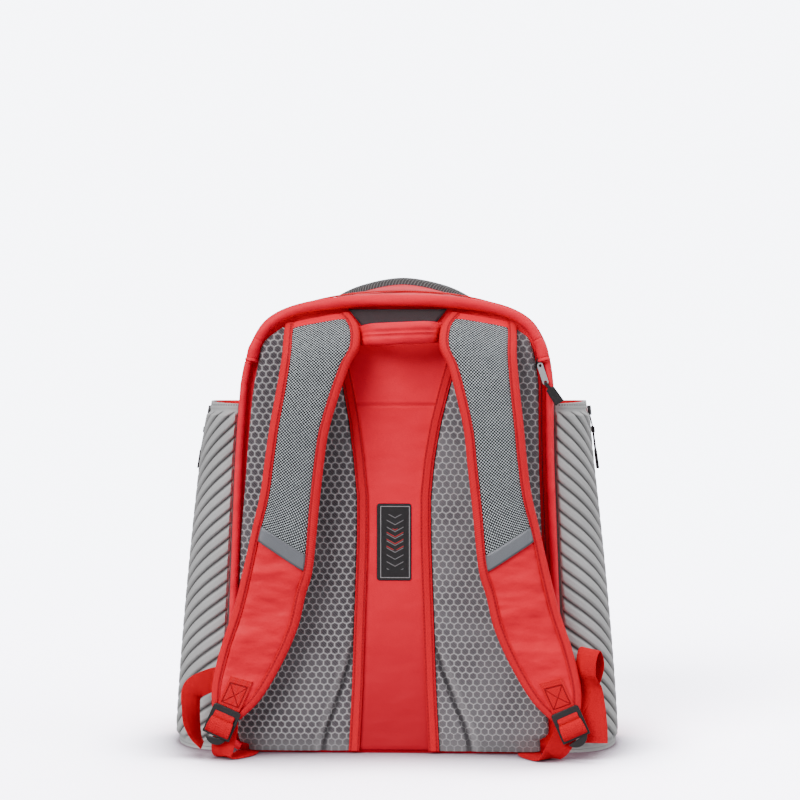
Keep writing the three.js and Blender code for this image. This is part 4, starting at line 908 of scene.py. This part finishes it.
for side, name in ((-1, "left"), (1, "right")):
    upper = sew("Strap_mesh_" + name,
                skin(56, 150, strap_place(side, 0, strap_joint), closed=True, ends=True, flip=side < 0),
                strap_mesh, ["strap_upper_" + name])
    lower = sew("Strap_cloth_" + name,
                skin(56, 110, strap_place(side, strap_joint, strap_last, 0.3), closed=True, ends=True,
                     flip=side < 0),
                strap_cloth, ["strap_lower_" + name])

    for edge, way in (("inner", 1), ("outer", -1)):
        def tape_place(u, v, side=side, way=way):
            row = v * strap_last
            inner, across, face, width, thick = strap_frame(side, row)
            start = tape_width if way > 0 else width - tape_width
            lip = between(((0, 0.1), (0.3, 0.02), (0.62, 0.06), (0.88, 0.2), (1.0, 0.5), (0.88, 0.8),
                           (0.62, 0.94), (0.3, 0.98), (0, 0.9)), u / 0.9) if u < 0.9 else (
                               0, mix(0.9, 0.1, (u - 0.9) / 0.1))
            ripple = 0.25 * noise.noise(Vector((row * 5, side * 3.0 + way, 1.0)))
            point = inner + across * (start - way * lip[0] * (tape_width - 0.1))
            point += face * (-thick * lip[1] + (ripple if lip[1] < 0.4 else 0))
            return spot(*point), (lip[0] * tape_width, strap_along(side, row))
        cloth = skin(26, 260, tape_place, closed=True, ends=True)
        bmesh.ops.recalc_face_normals(cloth, faces=cloth.faces)
        sew("Strap_tape_%s_%s" % (edge, name), cloth, strap_tape,
            ["strap_binding_%s_%s" % (edge, name)])

    def strip_place(u, v, side=side):
        row = strap_joint + mix(-0.185, 0.185, v)
        inner, across, face, width, thick = strap_frame(side, row)
        wide = 2 * u - 1
        half = width / 2 - tape_width - 0.3
        lift = 1.4 - thick / 2 * (1 - (1 - min(abs(wide), 0.97) ** 3.6) ** 0.28)
        point = inner + across * (width / 2 + half * wide) + face * lift
        return spot(*point), (half * wide, mix(-7.5, 7.5, v))
    strip = skin(24, 6, strip_place, flip=side < 0)
    sew("Reflective_strip_" + name, strip, reflective, ["reflective_strip_" + name], wall=0.9)

# The webbing: 25 mm woven red webbing. A tab with a box of stitches holds each moulded black buckle at a
# strap's end. The adjusting webbing comes up from the bag's bottom corner, and its free tail hangs behind.
web = Finish("Red_webbing", Specular_IOR_Level=0.15)
web_across, web_along = web.cloth()
web_ribs = (web_along + abs((web_across % 6.25) - 3.125) * 0.8).wave(1.5)
web_edge = abs(web_across).rise(11.2, 12.0)
web_grain = web.grain(0.9, 2.0)
webbing = web.wear(
    web.mixed((web_ribs * 0.35 + web_grain).rise(0.1, 0.9), tone(176, 1, 16), tone(238, 2, 34)),
    0.7 + web_grain * 0.1, web_ribs * 0.24 + web_edge * 0.3)
tab = Finish("Red_webbing_tab", Specular_IOR_Level=0.15)
tab_across, tab_along = tab.cloth()
tab_ribs = (tab_along + abs((tab_across % 6.25) - 3.125) * 0.8).wave(1.5)
tab_box = abs(abs(tab_across).most(abs(tab_along - 13) * 1.1) - 9.5).rise(0.8, 0.35)
tab_cross = (abs(abs(tab_across) - abs(tab_along - 13) * 1.1).rise(0.8, 0.35)
             * abs(tab_across).rise(9.5, 9.2))
tab_thread = tab_box.most(tab_cross)
tab_cloth = tab.mixed(tab_ribs * 0.5 + 0.5, tone(176, 1, 16), tone(232, 2, 32))
stitched_tab = tab.wear(tab.mixed(tab_thread * 0.85, tab_cloth, tone(120, 2, 12)), None,
                        tab_ribs * 0.14 + tab_thread * -0.35)


def centripetal(points, share):
    """A point on a smooth line through points that are unevenly spaced."""
    place = clamp(share) * (len(points) - 1)
    i = min(int(place), len(points) - 2)
    t = place - i
    p1, p2 = points[i], points[i + 1]
    p0 = points[i - 1] if i else p1 * 2 - p2
    p3 = points[i + 2] if i + 2 < len(points) else p2 * 2 - p1
    d0, d1, d2 = (max((b - a).length ** 0.5, 1e-4) for a, b in ((p0, p1), (p1, p2), (p2, p3)))
    m1 = ((p1 - p0) / d0 - (p2 - p0) / (d0 + d1) + (p2 - p1) / d1) * d1
    m2 = ((p2 - p1) / d1 - (p3 - p1) / (d1 + d2) + (p3 - p2) / d2) * d1
    return (p1 + m1 * t + (p1 * -3 + p2 * 3 - m1 * 2 - m2) * t * t
            + (p1 * 2 - p2 * 2 + m1 + m2) * t ** 3)


webbing_rows = {
    ("Adjusting_webbing", "left"): (
        (0, 0.735, 0.066, 22, 0), (0.006, 0.735, 0.05, 18, 0), (0.015, 0.725, 0.034, 12, -2),
        (0.02, 0.71, 0.018, 6, -14), (0.012, 0.68, 0.006, 2, -28), (-0.02, 0.6, 0.0036, 0, -40),
        (-0.06, 0.46, 0.0036, 0, -38), (-0.09, 0.3, 0.0036, 0, -20), (-0.1, 0.15, 0.0036, 0, -4),
        (-0.1, 0.02, 0.0036, 0, 0)),
    ("Adjusting_webbing", "right"): (
        (0, 0.735, 0.066, 22, 0), (-0.015, 0.735, 0.05, 18, 0), (-0.04, 0.725, 0.034, 12, -2),
        (-0.075, 0.71, 0.018, 6, -14), (-0.11, 0.67, 0.006, 2, -28), (-0.145, 0.57, 0.0036, 0, -38),
        (-0.175, 0.42, 0.0036, 0, -34), (-0.198, 0.28, 0.0036, 0, -18), (-0.205, 0.15, 0.0036, 0, -4),
        (-0.205, 0.02, 0.0036, 0, 0)),
    ("Webbing_tail", "left"): (
        (0, 0.715, 0.056, 18, 0), (0, 0.66, 0.08, 18, 0), (0, 0.55, 0.11, 12, 0), (0, 0.48, 0.138, 4, 0),
        (0.006, 0.465, 0.162, 8, 0), (0.018, 0.42, 0.172, 30, 0), (0.034, 0.375, 0.168, 52, 0),
        (0.08, 0.37, 0.165, 60, 0), (0.14, 0.39, 0.157, 62, 0), (0.195, 0.43, 0.146, 60, 0),
        (0.215, 0.5, 0.132, 50, 20), (0.214, 0.56, 0.105, 30, 42), (0.208, 0.57, 0.075, 14, 50),
        (0.18, 0.56, 0.042, 10, 70), (0.15, 0.54, 0.024, 8, 84)),
    ("Webbing_tail", "right"): (
        (0, 0.715, 0.056, 18, 0), (0.01, 0.66, 0.08, 16, 0), (0.04, 0.53, 0.11, 10, 0),
        (0.09, 0.43, 0.14, 4, 10), (0.14, 0.38, 0.17, 0, 26), (0.165, 0.37, 0.2, -4, 36),
        (0.16, 0.4, 0.222, -6, 40), (0.143, 0.49, 0.234, -8, 40), (0.126, 0.58, 0.226, -8, 40),
        (0.116, 0.63, 0.205, -8, 38), (0.118, 0.62, 0.184, -8, 38), (0.134, 0.55, 0.17, -6, 36),
        (0.148, 0.5, 0.155, -2, 30), (0.158, 0.52, 0.125, 2, 20), (0.166, 0.58, 0.09, 6, 8),
        (0.17, 0.62, 0.06, 10, 0), (0.17, 0.63, 0.038, 12, 0)),
}
webbing_node = {"Adjusting_webbing": "adjust_webbing_", "Webbing_tail": "webbing_tail_"}
webbing_width, webbing_thick = 25, 1.5


def ribbon_section(u, width, thick):
    """Across and lift of a strip's rounded section: the sum goes once round it."""
    angle = u * 2 * math.pi
    wide, deep = (math.copysign(abs(part) ** power, part)
                  for part, power in ((math.cos(angle), 0.3), (math.sin(angle), 0.6)))
    return wide * width / 2, thick / 2 + deep * thick / 2


for (kind, name), rows in webbing_rows.items():
    side = 1 if name == "right" else -1
    outer, inner, _ = strap_edges(side, strap_last)
    end = (outer + inner) / 2
    points = [Vector((end.x + side * away * back_half, back_face - out * strap_reach_out, up * body_height))
              for away, out, up, _, _ in rows]
    count = 140
    line = [centripetal(points, k / count) for k in range(count + 1)]
    for point in line:
        point.z = max(point.z, 1.8)
    reach = [0.0]
    for k in range(count):
        reach.append(reach[-1] + (line[k + 1] - line[k]).length)

    ways = []
    for k in range(count + 1):
        tilt, plan = (math.radians(value) for value in between(rows, k / count)[3:])
        across = Vector((side * math.cos(tilt) * math.cos(plan), -math.sin(plan), math.sin(tilt)))
        along = (line[min(k + 3, count)] - line[max(k - 3, 0)]).normalized()
        ways.append((across - along * across.dot(along)).normalized())

    def ribbon_place(u, v, side=side, line=line, reach=reach, count=count, ways=ways):
        k = round(v * count)
        along = (line[min(k + 3, count)] - line[max(k - 3, 0)]).normalized()
        across = sum(ways[max(k - 5, 0):k + 6], Vector((0, 0, 0)))
        across = (across - along * across.dot(along)).normalized()
        face = along.cross(across) * side
        wide, lift = ribbon_section(u, webbing_width, webbing_thick)
        lowest = line[k].z - abs(across.z) * webbing_width / 2 - abs(face.z) * webbing_thick
        point = line[k] + across * wide + face * lift + Vector((0, 0, max(0.3 - lowest, 0)))
        return spot(*point), (wide, reach[k])
    cloth = skin(32, count, ribbon_place, closed=True, ends=True)
    bmesh.ops.recalc_face_normals(cloth, faces=cloth.faces)
    sew("%s_%s" % (kind, name), cloth, webbing, [webbing_node[kind] + name])

wrap_rows = (
    (9.4, 0.2, 22.4), (9.2, 3.0, 22.4), (8.0, 5.0, 22.6), (5.8, 5.8, 22.6), (3.6, 4.8, 22.8), (2.4, 1.6, 23),
    (2.0, 1.9, 23.6), (1.7, 6.0, 24.6), (-0.4, 8.2, 25.4), (-4.5, 9.0, 26.4), (-9.0, 8.6, 26.8),
    (-12.4, 6.6, 26.8), (-13.2, 4.2, 26.6),
)
acetal = Finish("Black_acetal", Specular_IOR_Level=0.45)
acetal_grain = acetal.grain(0.7, 2.0)
buckle_finish = acetal.wear(
    acetal.mixed(acetal_grain.rise(0.3, 0.7), tone(26, 24, 25), tone(40, 37, 38)),
    0.36 + acetal_grain * 0.15, acetal_grain * 0.03)
for side, name in ((-1, "left"), (1, "right")):
    def tab_place(u, v, side=side):
        row = mix(11.62, strap_last, v)
        inner, across, face, width, thick = strap_frame(side, row)
        wide, lift = ribbon_section(u, webbing_width, webbing_thick)
        point = inner + across * (width / 2 + wide) + face * (lift + 0.3)
        return spot(*point), (wide, v * 34)
    cloth = skin(32, 40, tab_place, closed=True, ends=True)
    bmesh.ops.recalc_face_normals(cloth, faces=cloth.faces)
    sew("Webbing_tab_" + name, cloth, stitched_tab, ["webbing_tab_" + name])
    refined("Buckle_" + name, "ladder_buckle_" + name, buckle_finish, 0.7)

    inner, across, face, width, _ = strap_frame(side, strap_last)
    up = Vector((0, 0, 1))
    up = (up - across * up.dot(across) - face * up.dot(face)).normalized()
    seat = inner + across * (width / 2) - up * 9.24 + face * 2.1

    def wrap_place(u, v, across=across, face=face, up=up, seat=seat):
        height, out, wide_here = between(wrap_rows, v)
        ahead, behind = between(wrap_rows, v + 0.01), between(wrap_rows, v - 0.01)
        along = Vector((ahead[0] - behind[0], ahead[1] - behind[1])).normalized()
        wide, lift = ribbon_section(u, wide_here, 1.3)
        point = seat + across * wide + up * (height + along.y * lift) + face * (out - along.x * lift)
        return spot(*point), (wide, v * 34)
    cloth = skin(28, 96, wrap_place, closed=True, ends=True)
    bmesh.ops.recalc_face_normals(cloth, faces=cloth.faces)
    sew("Webbing_wrap_" + name, cloth, webbing)

# The sleeves: a pocket on each side, open at the top. The half that faces the harness is moulded grey foam with
# ribs that rise towards the bag, the front half is red cloth, and a zip joins them along the outer edge.
rib_columns = (0, 0.06, 0.13, 0.3, 0.48, 0.67, 0.84, 0.92, 1)
mouth = 383


def side_x(z, y):
    depth = clamp((y - wall_back) / wall_width)
    return mix(mix(back_half, front_half, depth), mix(back_top_half, front_top_half, depth),
               clamp((z - corner_radius) / (crown_start - corner_radius)))


def sleeve_base(turn, z):
    front = turn > 1
    share = (2 - turn if front else turn) * math.pi / 2
    seam = 50 if front else -88
    root = side_x(z, 47.8 if front else -88) + 0.3
    tip = side_x(z, -88) + mix(64, 41.5, clamp(z / mouth) ** 1.6)
    zip_line = 2 + (0.15 if front else -0.15)
    return Vector((
        mix(root, tip, math.sin(share) ** 0.8333),
        mix(seam, zip_line, 1 - max(0, math.cos(share)) ** 0.8333)))


def sleeve_spot(side, turn, z, lift):
    low, high = (1.0001, 2) if turn > 1 else (0, 1)
    here = sleeve_base(turn, z)
    run = sleeve_base(clamp(turn + 0.012, low, high), z) - sleeve_base(clamp(turn - 0.012, low, high), z)
    out = Vector((run.y, -run.x)).normalized()
    return spot(side * (here.x + out.x * lift), here.y + out.y * lift, z)


rib_arcs = [0.0]
for k in range(1, len(rib_columns)):
    rib_arcs.append(rib_arcs[-1] + (
        sleeve_base(rib_columns[k], mouth * 0.4) - sleeve_base(rib_columns[k - 1], mouth * 0.4)).length)


def sleeve_arc(turn):
    for k in range(1, len(rib_columns)):
        if turn <= rib_columns[k]:
            share = (turn - rib_columns[k - 1]) / (rib_columns[k] - rib_columns[k - 1])
            return mix(rib_arcs[k - 1], rib_arcs[k], share)
    return rib_arcs[-1]


rib_start, rib_end = sleeve_arc(0.022), sleeve_arc(0.93)


def sleeve_grooves_and_shade(finish):
    across, up = finish.cloth()
    phase = ((up + across * rib_slope) * (1 / rib_pitch)) % 1
    near = phase.least((1 - phase) * 0.55) * rib_pitch
    room = (rib_end - across).least(372 - up).least(up - 10)
    deep = across.rise(rib_end - 4, rib_end - 34)
    # Painted shade: dark lines in the rib grooves, wider and darker towards the bag where the ribs stand higher.
    line = near.rise(1.3 + deep * 1.0, 0.2) * room.rise(0, 3) * (across - rib_start).rise(0, 1)
    # Painted shade: a dark strip along the flange at the body side, turned away from the light.
    flange_shade = across.rise(rib_start + 0.8, rib_start - 0.8) * 0.72
    hem_stitch = abs(up - 377.5).rise(0.8, 0.4) * (across % 4.2).rise(2.4, 2.1)
    return (line * (0.62 + deep * 0.22)).most(flange_shade).most(hem_stitch * 0.8), hem_stitch * -0.3


sleeve_grey = moulded_grey("Moulded_sleeve", sleeve_grooves_and_shade)
foot_grey = moulded_grey("Moulded_foot")
sleeve_red = coated_cloth("Red_sleeve_cloth", (234, 2, 42), 0.6)
sleeve_zip = zip_finish("Sleeve_zip", (218, 4, 32), 3.6)
pull_black = Finish("Black_cord", Specular_IOR_Level=0.3)
pull_grain = pull_black.grain(1.2, 2.0)
cord_finish = pull_black.wear(
    pull_black.mixed(pull_grain.rise(0.3, 0.7), tone(24, 22, 23), tone(44, 40, 42)), 0.5 + pull_grain * 0.2,
    pull_grain * 0.15)
for side, name in ((-1, "left"), (1, "right")):
    def ribbed_place(u, v, side=side):
        z = mix(3.3, mouth - 4 * (1 - u), v)
        arc = sleeve_arc(u)
        phase = (z + rib_slope * arc) / rib_pitch % 1
        ridge = step(0, 0.2, phase) * step(1, 0.62, phase) ** 0.6
        edge = step(rib_start - 0.4, rib_start + 2.2, arc) * step(371, 366, z) * step(5, 14, z)
        depth = edge * step(rib_end, rib_end - 34, arc)
        lift = 1.3 * edge * step(rib_end + 8, rib_end - 30, arc) + 3.2 * ridge * depth
        hem = 0.7 * step(373.2, 374.4, z)
        return sleeve_spot(side, u, z, lift + hem), (arc, z)
    sew("Sleeve_" + name, skin(110, 360, ribbed_place, flip=side < 0), sleeve_grey,
        ["bat_sleeve_" + name], wall=3)

    def front_place(u, v, side=side):
        z = mix(3.3, mouth, v)
        turn = mix(1.0001, 2, u)
        soft = 1.6 * math.sin(math.pi * u) * math.sin(math.pi * v) * noise.noise(
            Vector((u * 2.2, z / 70, side * 4.0)))
        puff = 2.2 * math.exp(-((u - 0.12) / 0.09) ** 2) * step(230, 290, z) * step(360, 320, z)
        return sleeve_spot(side, turn, z, soft + puff - 0.4 * math.sin(math.pi * u)), (u * 70, z)
    front = sew("Sleeve_front_" + name, skin(30, 70, front_place, flip=side < 0), sleeve_red,
                ["sleeve_front_" + name], wall=2.2)

    def sleeve_zip_place(u, v, side=side):
        z = mix(16, 377, v)
        return sleeve_spot(side, mix(0.975, 1.025, u), z, 2.0 - 0.9 * abs(2 * u - 1)), (u * 7.2, z)
    sew("Sleeve_zip_" + name, skin(8, 200, sleeve_zip_place, flip=side < 0), sleeve_zip,
        ["sleeve_zip_tape_" + name], wall=1.1)

    foot = bmesh.new()
    rim = [foot.verts.new(sleeve_spot(side, turn, 0, 0))
           for turn in [k / 24 for k in range(25)] + [1 + k / 14 for k in range(1, 15)]]
    base_face = foot.faces.new(rim)
    raised = bmesh.ops.extrude_face_region(foot, geom=[base_face])["geom"]
    top = [part for part in raised if isinstance(part, bmesh.types.BMVert)]
    bmesh.ops.translate(foot, verts=top, vec=(0, 0, 0.003))
    bmesh.ops.recalc_face_normals(foot, faces=foot.faces)
    sew("Sleeve_foot_" + name, foot, foot_grey, ["sleeve_foot_" + name])
    refined("Sleeve_slider_" + name, "sleeve_zip_slider_" + name, buckle_finish, 0.5)
    refined("Sleeve_pull_" + name, "sleeve_zip_pull_" + name, cord_finish, 0.5)

# The laptop pocket: a red zip sewn down the right edge of the back. It has a black slider, a cast steel puller
# with two round holes, and a black cord tab.
laptop_zip = zip_finish("Laptop_zip", (226, 5, 38), 3.5)


def laptop_place(u, v):
    z = mix(165, 436, v)
    middle = edge_room(z, 12.9)
    ridge = 0.5 * step(0.42, 0.1, abs(u - 0.5))
    return spot(middle + 7 * (u - 0.5), -96.2 - ridge, z), (u * 7, z)


sew("Laptop_zip", skin(8, 160, laptop_place), laptop_zip, ["laptop_zip_tape"], wall=0.9)
steel = Finish("Puller_steel", Metallic=0.55)
steel_grain = steel.grain(1.5, 2.0, (1, 1, 0.2))
steel_finish = steel.wear(steel.mixed(steel_grain, tone(178, 180, 184), tone(222, 224, 227)),
                          0.24 + steel_grain * 0.15, steel_grain * 0.02)
refined("Laptop_slider", "laptop_zip_slider", buckle_finish, 0.5)
refined("Laptop_puller", "laptop_zip_puller", steel_finish, 0.3)
refined("Laptop_cord_tab", "laptop_pull_cord", cord_finish, 0.5)
